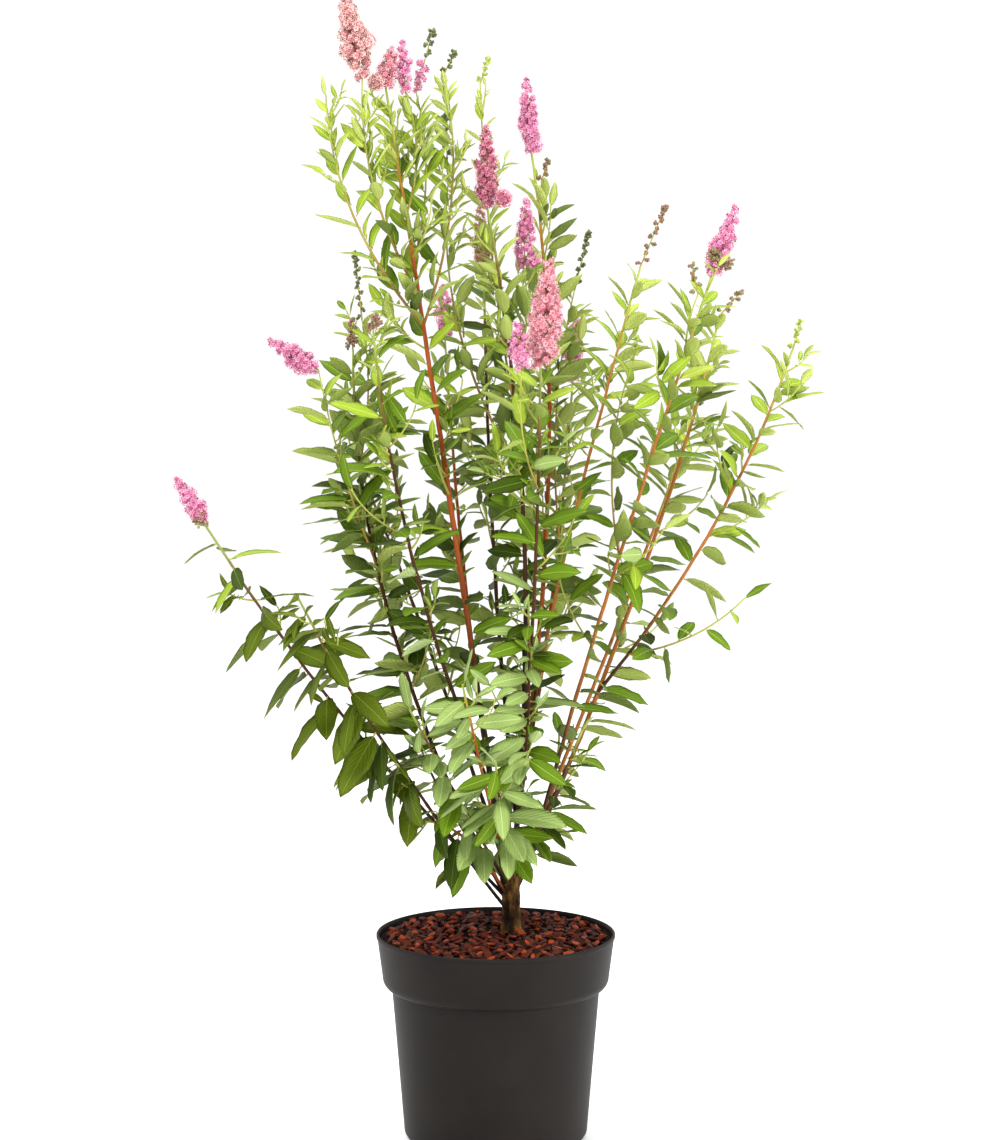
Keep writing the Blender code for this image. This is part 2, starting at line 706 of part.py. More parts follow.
def leaf_length(height, tip_share, chance):
    """Long low on the shrub, short at its top and towards the tip of each twig."""
    shortening = (LEAF_LENGTH_LOW - LEAF_LENGTH_TOP) * youth_of(height) ** LEAF_LENGTH_POWER
    size = LEAF_GROWTH * (LEAF_LENGTH_LOW - shortening)
    return size * (1.0 - LEAF_TIP_LOSS * tip_share**3) * chance.uniform(*LEAF_SIZES)


def outward(point):
    """The level direction from the middle of the crown to a point, shorter near the middle."""
    flat = Vector((point.x - CROWN_MIDDLE[0], point.y - CROWN_MIDDLE[1], 0.0))
    return flat / max(flat.length, CROWN_CORE)


def try_leaf(root, axis, turn, size, spread, hang, chance):
    """A leaf that stands off its twig, drooping low on the shrub and rising at its top."""
    along = axis * math.cos(spread) + sideways(axis, turn) * math.sin(spread)
    along.z += LEAF_TOP_RISE * youth_of(root.z) - LEAF_DROOP - hang
    along.z += chance.uniform(-LEAF_DROOP_RANGE, LEAF_DROOP_RANGE)
    along.normalize()
    light = Vector((0.0, 0.0, 1.0)) + LEAF_FACES_OUT * outward(root)
    normal = (light - along * light.dot(along)).normalized()
    normal = Matrix.Rotation(chance.gauss(0.0, LEAF_ROLL), 3, along) @ normal
    return Leaf(root, along, normal, size)


class Space:
    """Tests whether a leaf stays in its mass's space, off the limbs and off the leaves before it."""

    def __init__(self, masses, skeleton):
        bones = [mass.bones() for mass in masses]
        self.starts, self.ends, self.radii = (np.concatenate(arrays) for arrays in zip(*bones))
        self.owners = np.repeat(range(len(masses)), [len(radii) for _, _, radii in bones])
        limbs = [skeleton.bough(limb.name) for limb in LIMBS] + [skeleton.placed["trunk"]]
        self.limb_starts, self.limb_ends, self.limb_radii = (
            np.concatenate(arrays) for arrays in zip(*limbs)
        )
        self.blades = []

    def takes(self, leaf, index):
        """True if the leaf fits. Its place is then kept from the leaves after it."""
        points = leaf_points(leaf)
        blade = points[LEAF_TEST_WIDTH:]
        near = [kept for root, kept in self.blades if (root - leaf.root).length < LEAF_NEIGHBOURS]
        if near:
            gaps = np.linalg.norm(blade[:, None] - np.concatenate(near), axis=2)
            if gaps.min() < LEAF_CLEARANCE:
                return False
        reach = distances(points, self.starts, self.ends)
        if (reach[LEAF_TEST_WIDTH:] < self.radii + LIMB_MARGIN).any():
            return False
        own = self.owners == index
        nearest = reach[:, own].min(axis=1) + SPACE_MARGIN
        if ((reach - self.radii)[:, ~own].min(axis=1) < nearest).any():
            return False
        reach = distances(points, self.limb_starts, self.limb_ends)
        if (reach < self.limb_radii + LIMB_MARGIN).any():
            return False
        self.blades.append((leaf.root, blade))
        return True


def leaf_stations(points, steps, limb):
    """Distances of a twig's leaves from its foot, closer together high on the shrub."""
    last = sum(steps) - LEAF_LAST_STEP * LEAF_PITCH_LOW
    travel = (LEAF_FIRST_STEP if limb.leafy else LOW_LEAF_FIRST_STEP) * LEAF_PITCH_LOW
    stations = []
    while travel < last:
        stations.append(travel)
        youth = youth_of(along_path(points, steps, travel)[0].z)
        travel += limb.sparse * (LEAF_PITCH_LOW + (LEAF_PITCH_TOP - LEAF_PITCH_LOW) * youth)
    return stations


def grow_leaves(mass, index, space):
    """Sets leaves in a spiral on every twig, and skips those that find no room."""
    limb = mass.limb
    for number, twig in enumerate(mass.twigs):
        steps = [(b - a).length for a, b in zip(twig.points, twig.points[1:])]
        whole = sum(steps)
        phase = random.Random(f"{limb.name} {number}").uniform(0.0, 2.0 * math.pi)
        stations = leaf_stations(twig.points, steps, limb)
        count = len(stations)
        orders = range(0, count, LEAF_KEPT_EVERY if limb.leafy else 1)
        for order in [*orders, count] if twig.flower is None else orders:
            chance = random.Random(f"{limb.name} {number} {order}")
            travel = whole - TIP_LEAF_SINK if order == count else stations[order]
            root, axis = along_path(twig.points, steps, travel)
            size = limb.vigour * leaf_length(root.z, travel / whole, chance)
            if number > 0:
                size *= LEAF_ON_SHOOT
            spread = SPREAD_LOW + (SPREAD_TOP - SPREAD_LOW) * youth_of(root.z)
            if order == count:
                spread = SPREAD_TIP
            turn = phase + order * GOLDEN_ANGLE
            for attempt in range(LEAF_TURNS * len(LEAF_SHRINKS)):
                length = size * LEAF_SHRINKS[attempt // LEAF_TURNS]
                angle = turn + attempt * LEAF_TURN
                leaf = try_leaf(root, axis, angle, length, spread, limb.hang, chance)
                if space.takes(leaf, index):
                    mass.leaves.append(leaf)
                    break


def along_path(points, steps, travel):
    """The point at a distance along a centreline, and the line's direction there."""
    for start, end, step in zip(points, points[1:], steps):
        if travel <= step:
            break
        travel -= step
    axis = (end - start).normalized()
    return start + axis * min(travel, step), axis


def leaf_mesh(material):
    """A leaf of unit length: a flat diamond above, with a low keel under its midrib."""
    work = bmesh.new()
    bmesh.ops.create_cone(
        work,
        cap_ends=True,
        segments=4,
        radius1=0.5,
        radius2=0.0,
        depth=LEAF_THICKNESS,
        matrix=Matrix.Rotation(math.pi, 4, "X"),
    )
    for vert in work.verts:
        if vert.co.z < 0.0:
            vert.co.x = LEAF_KEEL_SHIFT
    mesh = bpy.data.meshes.new("leaf")
    work.to_mesh(mesh)
    work.free()
    mesh.materials.append(material)
    return mesh


def place_leaf(leaf, mesh, collection):
    """One leaf as an object on its twig, its root sunk past the twig's middle."""
    across = leaf.normal.cross(leaf.along)
    middle = leaf.root + leaf.along * (0.5 * leaf.length - LEAF_SINK)
    matrix = Matrix(
        (
            leaf.along * leaf.length,
            across * (leaf.length * LEAF_SLENDERNESS),
            leaf.normal * leaf.length,
        )
    ).transposed()
    obj = link(bpy.data.objects.new("leaf", mesh), collection)
    obj.matrix_world = Matrix.Translation(middle) @ matrix.to_4x4()
    return obj


def make_spike(twig, collection):
    """The flower spike on a twig's tip: a tapering body with an uneven girth."""
    foot = twig.points[-1]
    foot = foot - (twig.flower - foot).normalized() * SPIKE_SINK
    around, up = LARGE_SPIKE_FACES if twig.width > LARGE_SPIKE else SMALL_SPIKE_FACES
    work = bmesh.new()
    bmesh.ops.create_uvsphere(work, u_segments=around, v_segments=up, radius=0.5)
    for vert in work.verts:
        share = vert.co.z + 0.5
        angle = math.atan2(vert.co.y, vert.co.x)
        lobe = SPIKE_LOBE_DEPTH * math.cos(SPIKE_LOBES * angle + SPIKE_LOBE_TWIST * share)
        fullness = SPIKE_LOW_FULLNESS - SPIKE_TOP_LOSS * share + lobe
        vert.co.x *= fullness * twig.width
        vert.co.y *= fullness * twig.width
        vert.co.z = share * (twig.flower - foot).length
    mesh = bpy.data.meshes.new("flower_spike")
    work.to_mesh(mesh)
    work.free()
    obj = link(bpy.data.objects.new(mesh.name, mesh), collection)
    turn = (twig.flower - foot).to_track_quat("Z", "Y").to_matrix().to_4x4()
    obj.matrix_world = Matrix.Translation(foot) @ turn


def make_bunch(bunch, collection):
    """A rounded side bunch that stands out of a flower spike."""
    work = bmesh.new()
    bmesh.ops.create_icosphere(
        work, subdivisions=1, radius=bunch.radius, matrix=Matrix.Translation(bunch.centre)
    )
    mesh = bpy.data.meshes.new("flower_bunch")
    work.to_mesh(mesh)
    work.free()
    link(bpy.data.objects.new(mesh.name, mesh), collection)


def keep_main_body(mesh):
    """Deletes loose scraps and the walls of sealed hollows, which leaves one closed body."""
    work = bmesh.new()
    work.from_mesh(mesh)
    bmesh.ops.triangulate(work, faces=work.faces)
    work.verts.ensure_lookup_table()
    seen = set()
    bodies = []
    for first in work.verts:
        if first.index in seen:
            continue
        body = [first]
        seen.add(first.index)
        for vert in body:
            for edge in vert.link_edges:
                other = edge.other_vert(vert)
                if other.index not in seen:
                    seen.add(other.index)
                    body.append(other)
        bodies.append(body)
    bodies.sort(key=len)
    scraps = [vert for body in bodies[:-1] for vert in body]
    bmesh.ops.delete(work, geom=scraps, context="VERTS")
    work.to_mesh(mesh)
    work.free()


def fuse(name, stem, pieces):
    """Joins a stem and a collection of pieces into one mesh by one Boolean union."""
    union = stem.modifiers.new("fuse", "BOOLEAN")
    union.operation = "UNION"
    union.operand_type = "COLLECTION"
    union.collection = pieces
    union.solver = "EXACT"
    mesh = evaluated_mesh(stem)
    stem.modifiers.remove(union)
    for piece in list(pieces.objects):
        bpy.data.objects.remove(piece)
    bpy.data.collections.remove(pieces)
    keep_main_body(mesh)
    shade_round(mesh)
    mesh.name = name
    stem.data = mesh


def make_foliage(mass, profile, leaf, material, collection):
    """One foliage mass: its stem, with side shoots, leaves and spikes fused on."""
    name = f"foliage_{mass.limb.name}"
    pieces = bpy.data.collections.new(f"{name}_pieces")
    bpy.context.scene.collection.children.link(pieces)
    objects = []
    for twig in mass.twigs:
        radii = [max(radius, THINNEST_TWIG) for radius in twig.radii]
        home = pieces if objects else collection
        objects.append(make_tube(name, twig.points, radii, profile, home))
        if twig.flower:
            make_spike(twig, pieces)
    for bunch in BUNCHES:
        if bunch.limb == mass.limb.name:
            make_bunch(bunch, pieces)
    for grown in mass.leaves:
        place_leaf(grown, leaf, pieces)
    stem = objects[0]
    stem.name = name
    fuse(name, stem, pieces)
    stem.data.materials.clear()
    stem.data.materials.append(material)


def make_trunk(profile, material, collection):
    """The trunk with its flare, cut flat at the bark's surface."""
    shares = [(n / TRUNK_RINGS) ** TRUNK_RING_POWER for n in range(TRUNK_RINGS + 1)]
    points = [trunk_point(share) for share in shares]
    points[1].xy = points[0].xy
    points[-2].xy = points[-1].xy
    radii = [trunk_radius(share) for share in shares]
    trunk = make_tube("trunk", points, radii, profile, collection)
    trunk.data.materials.append(material)


def make_boughs(skeleton, profile, material, collection):
    """One tapering solid for each bough, from its foot to where its foliage starts."""
    for limb in LIMBS:
        first = skeleton.starts[limb.name]
        points, radii = skeleton.polyline(limb.name, first, limb.leafy, BOUGH_RINGS)
        if first == 0.0:
            points.insert(1, points[0] + Vector((0.0, 0.0, UPRIGHT_START)))
            radii.insert(1, radii[0])
        bough = make_tube(f"bough_{limb.name}", points, radii, profile, collection)
        bough.data.materials.append(material)


def grow_masses(skeleton):
    """Every foliage mass with its twigs and leaves."""
    masses = []
    for limb in LIMBS + LOW_SHOOTS:
        first = limb.leafy if limb.leafy else skeleton.starts[limb.name]
        length = (Vector(limb.tip) - skeleton.feet[limb.name]).length
        if limb.leafy:
            first += GAP / length
        points, radii = skeleton.polyline(limb.name, first, 1.0, STEM_RINGS)
        flower = Vector(limb.flower) if limb.flower else None
        masses.append(Mass(limb, Twig(points, radii, flower, limb.width)))
    for mass in masses:
        grow_listed_shoots(mass, skeleton)
    for mass in masses:
        grow_side_shoots(mass, masses, skeleton)
    space = Space(masses, skeleton)
    for index, mass in enumerate(masses):
        grow_leaves(mass, index, space)
    return masses


def main():
    """Builds the shrub and its pot."""
    clear_scene()
    shrub = bpy.data.collections.new("potted_spirea_shrub")
    cutters = bpy.data.collections.new("cutters")
    for collection in (shrub, cutters):
        bpy.context.scene.collection.children.link(collection)
    section_sides = (TWIG_SIDES, BOUGH_SIDES, TRUNK_SIDES)
    profiles = {sides: link(make_profile(sides), cutters) for sides in section_sides}
    make_pot(make_material("pot_plastic", POT_GREY), shrub, cutters)
    make_potting_bark(make_material("bark_chips", BARK_CHIP_BROWN), shrub)
    make_trunk(profiles[TRUNK_SIDES], make_material("old_bark", TRUNK_BROWN), shrub)
    skeleton = Skeleton()
    make_boughs(skeleton, profiles[BOUGH_SIDES], make_material("young_bark", BOUGH_RED_BROWN), shrub)
    foliage = make_material("foliage", LEAF_GREEN)
    leaf = leaf_mesh(foliage)
    for mass in grow_masses(skeleton):
        make_foliage(mass, profiles[TWIG_SIDES], leaf, foliage, shrub)
    for profile in profiles.values():
        bpy.data.objects.remove(profile)


main()
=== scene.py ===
"""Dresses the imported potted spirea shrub: pot, bark chips, bark, leaves, blossom, and the studio around them.

The shrub grows here by the same rule as its solids, with every leaf of the spiral, stalks and short spurs.
Units are metres, +Z is up and -Y faces the viewer, as in the frame.
"""

import json
import logging
import math
from dataclasses import dataclass, field
from enum import Enum
from random import Random

import bmesh
import bpy
import numpy as np
from mathutils import Matrix, Vector

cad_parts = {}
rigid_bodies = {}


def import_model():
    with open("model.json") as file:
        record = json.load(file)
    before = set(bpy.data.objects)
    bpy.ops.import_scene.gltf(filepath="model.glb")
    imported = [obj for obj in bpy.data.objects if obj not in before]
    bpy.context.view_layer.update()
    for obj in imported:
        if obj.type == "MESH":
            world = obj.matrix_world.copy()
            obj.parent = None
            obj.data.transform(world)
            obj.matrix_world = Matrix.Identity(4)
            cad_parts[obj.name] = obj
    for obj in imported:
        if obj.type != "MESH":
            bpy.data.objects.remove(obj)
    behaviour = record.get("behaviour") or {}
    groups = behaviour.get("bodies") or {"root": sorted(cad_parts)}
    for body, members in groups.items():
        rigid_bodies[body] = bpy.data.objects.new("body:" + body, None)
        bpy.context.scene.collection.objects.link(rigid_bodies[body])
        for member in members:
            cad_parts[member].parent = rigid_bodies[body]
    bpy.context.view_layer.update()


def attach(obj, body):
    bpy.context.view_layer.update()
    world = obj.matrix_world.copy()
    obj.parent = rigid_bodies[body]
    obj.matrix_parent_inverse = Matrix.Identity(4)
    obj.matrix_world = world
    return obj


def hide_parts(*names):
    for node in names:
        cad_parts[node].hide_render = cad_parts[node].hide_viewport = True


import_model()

LOG = logging.getLogger("potted_spirea")
Pair = tuple[float, float]
Point = tuple[float, float, float]
Segments = tuple[np.ndarray, np.ndarray, np.ndarray]
Placed = tuple[Vector, Vector, float]
Material = bpy.types.Material
Mesh = bpy.types.Mesh
Node = bpy.types.Node
Object = bpy.types.Object
Tree = bpy.types.NodeTree

GOLDEN_ANGLE = math.radians(137.5)
FULL_TURN = 2.0 * math.pi
MM_PER_METRE = 1000.0
UP = Vector((0.0, 0.0, 1.0))


class Bark(Enum):
    """Colours of the woody stems."""

    RED = "red"
    ORANGE = "orange"
    DARK = "dark"


class Tone(Enum):
    """Colours of the leaves, from the oldest to the youngest, and the pale grey-green of the low front, which
    some leaves of the front half also take as painted sheen.
    """

    OLIVE = "olive"
    DEEP = "deep"
    GREEN = "green"
    FRESH = "fresh"
    LIME = "lime"
    SAGE = "sage"


class Bloom(Enum):
    """Kinds of flower spike: five in flower, one half open, and four in bud or seed."""

    PINK = "pink"
    SALMON = "salmon"
    BLUSH = "blush"
    ROSE = "rose"
    RUST = "rust"
    OPENING = "opening"
    BUD_GREEN = "bud_green"
    BUD_ROSE = "bud_rose"
    BUD_TAN = "bud_tan"
    BUD_LIME = "bud_lime"


@dataclass(frozen=True)
class Flower:
    """A flower spike: its top, its width and its kind."""

    top: Point
    width: float
    bloom: Bloom


@dataclass(frozen=True)
class Limb:
    """A leader on one curve from foot to tip: its bough, then the stem of its foliage.

    fork is the share of the parent's curve where it starts, bend the point half way, girth the radius at
    the foot, leafy the share where the foliage starts, and vigour the size of its leaves. shade and fresh
    lead the colour of its leaves, hang turns them down, and sparse sets them further apart; over 1
    the limb has no side shoots. full is the youth from which more leaves stand at half steps.
    """

    name: str
    parent: str
    fork: float
    bend: Point
    tip: Point
    girth: float
    leafy: float
    bark: Bark = Bark.DARK
    flower: Flower | None = None
    vigour: float = 1.0
    shade: Tone = Tone.GREEN
    fresh: float = 0.0
    hang: float = 0.0
    sparse: float = 1.0
    full: float = 2.0


@dataclass(frozen=True)
class Shoot:
    """A side shoot that shows by itself against the sky."""

    limb: str
    share: float
    tip: Point
    flower: Flower | None = None


@dataclass(frozen=True)
class Bunch:
    """A side bunch of a large flower spike."""

    centre: Point
    radius: float
    bloom: Bloom


LIMBS = (
    Limb("main", "trunk", 1.0, (-0.046, -0.007, 0.635), (-0.102, -0.030, 1.004), 0.0032, 0.13,
         Bark.RED, Flower((-0.096, -0.030, 1.042), 0.024, Bloom.BLUSH), full=0.80),
    Limb("centre", "trunk", 1.0, (0.027, 0.026, 0.590), (-0.008, 0.020, 0.896), 0.0027, 0.13,
         Bark.DARK, Flower((-0.009, 0.020, 0.974), 0.027, Bloom.ROSE)),
    Limb("tall_back", "trunk", 1.0, (0.052, 0.085, 0.640), (0.035, 0.120, 0.957), 0.0026, 0.13,
         Bark.RED, Flower((0.030, 0.120, 1.030), 0.024, Bloom.PINK), shade=Tone.DEEP),
    Limb("right_inner", "trunk", 0.55, (0.137, 0.047, 0.527), (0.220, 0.080, 0.796), 0.0024, 0.26,
         Bark.ORANGE, Flower((0.241, 0.080, 0.819), 0.012, Bloom.BUD_TAN), 0.85, fresh=0.16, full=0.30),
    Limb("left", "trunk", 0.40, (-0.099, 0.027, 0.489), (-0.138, 0.040, 0.761), 0.0022, 0.19,
         Bark.DARK, Flower((-0.139, 0.040, 0.791), 0.012, Bloom.BUD_ROSE), full=0.0),
    Limb("far_left", "trunk", 0.45, (-0.146, -0.042, 0.419), (-0.267, -0.100, 0.603), 0.0018, 0.30,
         Bark.DARK, Flower((-0.293, -0.100, 0.644), 0.022, Bloom.PINK), 1.06, Tone.OLIVE, hang=0.62,
         sparse=1.15, full=0.0),
    Limb("low_left", "trunk", 0.25, (-0.098, -0.072, 0.386), (-0.177, -0.150, 0.538), 0.0017, 0.34,
         Bark.DARK, None, 1.08, Tone.OLIVE, hang=0.72, sparse=1.20, full=0.0),
    Limb("back_far_left", "trunk", 0.75, (-0.070, 0.125, 0.470), (-0.150, 0.190, 0.665), 0.0021, 0.20,
         Bark.DARK, Flower((-0.158, 0.193, 0.700), 0.010, Bloom.BUD_GREEN), shade=Tone.DEEP),
    Limb("back_far_right", "trunk", 0.65, (0.120, 0.120, 0.480), (0.205, 0.185, 0.700), 0.0021, 0.22,
         Bark.ORANGE, Flower((0.215, 0.188, 0.730), 0.010, Bloom.BUD_GREEN), 0.90),
    Limb("right_main", "right_inner", 0.08, (0.109, -0.013, 0.537), (0.202, -0.040, 0.830), 0.0021, 0.22,
         Bark.ORANGE, Flower((0.224, -0.040, 0.895), 0.028, Bloom.PINK), 0.92, fresh=0.12, full=0.30),
    Limb("salmon", "centre", 0.08, (0.036, -0.042, 0.527), (0.041, -0.100, 0.746), 0.0021, 0.14,
         Bark.DARK, Flower((0.049, -0.100, 0.843), 0.038, Bloom.BLUSH)),
    Limb("left_inner", "main", 0.10, (-0.074, -0.045, 0.550), (-0.112, -0.090, 0.776), 0.0020, 0.18,
         Bark.DARK, Flower((-0.108, -0.090, 0.792), 0.012, Bloom.BUD_ROSE)),
    Limb("back_left", "main", 0.05, (-0.030, 0.115, 0.520), (-0.052, 0.190, 0.775), 0.0022, 0.20,
         Bark.RED, Flower((-0.055, 0.195, 0.830), 0.022, Bloom.PINK), shade=Tone.DEEP),
    Limb("back", "tall_back", 0.05, (-0.002, 0.120, 0.555), (-0.012, 0.130, 0.843), 0.0023, 0.20,
         Bark.DARK, Flower((-0.016, 0.130, 0.905), 0.024, Bloom.RUST), shade=Tone.DEEP),
    Limb("back_right", "tall_back", 0.12, (0.058, 0.180, 0.510), (0.080, 0.240, 0.730), 0.0022, 0.20,
         Bark.RED, Flower((0.084, 0.246, 0.800), 0.024, Bloom.PINK)),
    Limb("bud_right", "tall_back", 0.15, (0.070, 0.036, 0.575), (0.140, 0.060, 0.841), 0.0019, 0.22,
         Bark.ORANGE, Flower((0.165, 0.060, 0.901), 0.011, Bloom.BUD_ROSE), 0.90, fresh=0.10, full=0.40),
    Limb("right_outer", "right_inner", 0.33, (0.206, 0.000, 0.590), (0.280, -0.020, 0.761), 0.0017, 0.15,
         Bark.ORANGE, Flower((0.287, -0.020, 0.788), 0.008, Bloom.BUD_LIME), 0.85, fresh=0.20, full=0.20),
)

# Low shoots that leave the trunk with leaves from their foot, so their whole curve is foliage
LOW_SHOOTS = (
    Limb("low_front", "trunk", 0.80, (-0.008, -0.056, 0.345), (-0.030, -0.112, 0.455), 0.0017, 0.0,
         Bark.RED, None, 1.05, Tone.SAGE, hang=0.15, full=0.0),
    Limb("low_front_left", "trunk", 0.62, (-0.036, -0.050, 0.340), (-0.080, -0.082, 0.428), 0.0016, 0.0,
         Bark.DARK, None, 1.05, Tone.SAGE, hang=0.20, full=0.0),
    Limb("low_front_right", "trunk", 0.72, (0.050, -0.024, 0.325), (0.082, -0.052, 0.405), 0.0016, 0.0,
         Bark.DARK, None, 0.72, Tone.GREEN),
    Limb("low_nearest", "trunk", 0.78, (0.006, -0.056, 0.318), (0.000, -0.124, 0.385), 0.0016, 0.0,
         Bark.DARK, None, 1.00, Tone.SAGE, hang=0.12, full=0.0),
    Limb("low_middle", "trunk", 0.92, (0.030, -0.022, 0.400), (0.030, -0.054, 0.530), 0.0017, 0.0,
         Bark.DARK, None, 0.90, Tone.SAGE, hang=0.10, full=0.0),
    Limb("low_side", "trunk", 0.42, (-0.026, -0.022, 0.292), (-0.066, -0.046, 0.316), 0.0015, 0.0,
         Bark.RED, None, 0.95, Tone.GREEN, hang=1.20, sparse=0.80),
    Limb("low_back", "trunk", 0.60, (0.014, 0.070, 0.290), (0.020, 0.115, 0.350), 0.0016, 0.0,
         shade=Tone.OLIVE),
    Limb("low_back_left", "trunk", 0.50, (-0.045, 0.060, 0.310), (-0.080, 0.090, 0.380), 0.0016, 0.0,
         shade=Tone.OLIVE),
    Limb("low_back_right", "trunk", 0.50, (0.050, 0.075, 0.300), (0.064, 0.125, 0.375), 0.0016, 0.0,
         Bark.DARK, None, 0.80),
)

SHOOTS = (
    Shoot("main", 0.74, (-0.123, -0.050, 1.010), Flower((-0.140, -0.050, 1.090), 0.034, Bloom.SALMON)),
    Shoot("main", 0.70, (-0.156, -0.060, 0.994)),
    Shoot("main", 0.84, (-0.084, -0.020, 1.000), Flower((-0.087, -0.020, 1.048), 0.018, Bloom.PINK)),
    Shoot("main", 0.78, (-0.075, 0.002, 1.003), Flower((-0.059, 0.004, 1.061), 0.014, Bloom.OPENING)),
    Shoot("main", 0.70, (-0.049, 0.026, 1.023), Flower((-0.039, 0.026, 1.044), 0.008, Bloom.BUD_GREEN)),
    Shoot("centre", 0.66, (-0.015, 0.060, 1.018), Flower((-0.007, 0.060, 1.042), 0.008, Bloom.BUD_LIME)),
    Shoot("centre", 0.58, (-0.046, 0.060, 0.925), Flower((-0.049, 0.060, 0.990), 0.007, Bloom.BUD_GREEN)),
    Shoot("centre", 0.72, (0.027, 0.050, 0.840), Flower((0.030, 0.050, 0.907), 0.026, Bloom.PINK)),
    Shoot("salmon", 0.74, (0.024, -0.125, 0.742), Flower((0.019, -0.128, 0.785), 0.022, Bloom.PINK)),
    Shoot("tall_back", 0.86, (0.045, 0.120, 0.928), Flower((0.052, 0.120, 0.950), 0.009, Bloom.BUD_ROSE)),
    Shoot("bud_right", 0.45, (0.079, 0.140, 0.822), Flower((0.093, 0.145, 0.880), 0.009, Bloom.BUD_GREEN)),
    Shoot("right_main", 0.55, (0.131, 0.006, 0.750), Flower((0.135, 0.006, 0.773), 0.008, Bloom.BUD_LIME)),
    Shoot("right_main", 0.88, (0.188, -0.050, 0.812), Flower((0.182, -0.052, 0.840), 0.012, Bloom.BUD_TAN)),
    Shoot("left", 0.62, (-0.167, -0.020, 0.742), Flower((-0.214, -0.020, 0.770), 0.026, Bloom.PINK)),
    Shoot("left", 0.80, (-0.131, 0.075, 0.791), Flower((-0.138, 0.080, 0.856), 0.008, Bloom.BUD_GREEN)),
    Shoot("right_outer", 0.12, (0.233, -0.060, 0.530)),
)

BUNCHES = (
    Bunch((-0.119, -0.050, 1.043), 0.0080, Bloom.SALMON),
    Bunch((-0.111, -0.036, 1.008), 0.0080, Bloom.SALMON),
    Bunch((0.007, 0.010, 0.904), 0.0085, Bloom.ROSE),
    Bunch((0.038, 0.046, 0.846), 0.0070, Bloom.PINK),
    Bunch((0.038, 0.116, 0.963), 0.0075, Bloom.PINK),
    Bunch((0.214, -0.046, 0.842), 0.0085, Bloom.BUD_TAN),
    Bunch((0.203, -0.050, 0.848), 0.0070, Bloom.BUD_TAN),
    Bunch((-0.269, -0.104, 0.605), 0.0080, Bloom.BUD_TAN),
    Bunch((-0.139, 0.038, 0.770), 0.0060, Bloom.BUD_ROSE),
    Bunch((-0.110, -0.092, 0.785), 0.0065, Bloom.BUD_ROSE),
)


def srgb(code: str) -> tuple[float, float, float, float]:
    """Turns an sRGB hex colour into the linear colour that a shader takes.

    Args:
        code: The colour as #RRGGBB.

    Returns:
        Linear red, green and blue, with an alpha of one.
    """
    channels = [int(code[start : start + 2], 16) / 255.0 for start in (1, 3, 5)]
    linear = [c / 12.92 if c <= 0.04045 else ((c + 0.055) / 1.055) ** 2.4 for c in channels]
    return (*linear, 1.0)


def add_node(
    tree: Tree, kind: str, inputs: dict | None = None, stops: dict[float, str] | None = None, **settings
) -> Node:
    """Adds a node, sets its options, and fills or links its inputs.

    Args:
        tree: The tree that gets the node.
        kind: Blender's name of the node's type.
        inputs: Input name or number to a value, or to the socket that feeds it, or to a node whose first
            output does.
        stops: For a colour ramp, place on it to sRGB hex colour, in rising order.
        settings: Options of the node itself.

    Returns:
        The new node.
    """
    node = tree.nodes.new(kind)
    for name, value in settings.items():
        setattr(node, name, value)
    for key, value in (inputs or {}).items():
        if isinstance(value, Node):
            value = value.outputs[0]
        if isinstance(value, bpy.types.NodeSocket):
            tree.links.new(value, node.inputs[key])
        else:
            node.inputs[key].default_value = value
    for number, (place, code) in enumerate((stops or {}).items()):
        elements = node.color_ramp.elements
        element = elements[number] if number < 2 else elements.new(place)
        element.position = place
        element.color = srgb(code)
    return node


def grain(tree: Tree, size_mm: float, detail: float, strength: float, depth: float) -> Node:
    """Draws a grain as relief.

    Args:
        tree: The material's tree.
        size_mm: How large its grains are.
        detail: How many finer layers it has.
        strength: How strongly it bends the light.
        depth: How deep it is.

    Returns:
        The node that gives the bent normal.
    """
    spot = add_node(tree, "ShaderNodeTexCoord").outputs["Object"]
    inputs = {"Vector": spot, "Scale": MM_PER_METRE / size_mm, "Detail": detail}
    noise = add_node(tree, "ShaderNodeTexNoise", inputs)
    return add_node(tree, "ShaderNodeBump", {"Strength": strength, "Distance": depth, "Height": noise})


def skin(colour: tuple | Node, roughness: float | Node, shine: float, normal: Node) -> dict:
    """Names a skin's colour, dullness, shine and bent normal as the inputs of its shader."""
    return {"Base Color": colour, "Roughness": roughness, "Specular IOR Level": shine, "Normal": normal}


class Finish:
    """What every finish shares: a material named for the real one, with one shader whose inputs it draws."""

    name: str

    def inputs(self, tree: Tree) -> dict:
        """Returns the shader's inputs, each a value or the node that draws it."""
        raise NotImplementedError

    def make(self) -> Material:
        """Makes the material."""
        material = bpy.data.materials.new(self.name)
        material.use_nodes = True
        tree = material.node_tree
        tree.nodes.clear()
        shader = add_node(tree, "ShaderNodeBsdfPrincipled", self.inputs(tree))
        add_node(tree, "ShaderNodeOutputMaterial", {"Surface": shader})
        return material


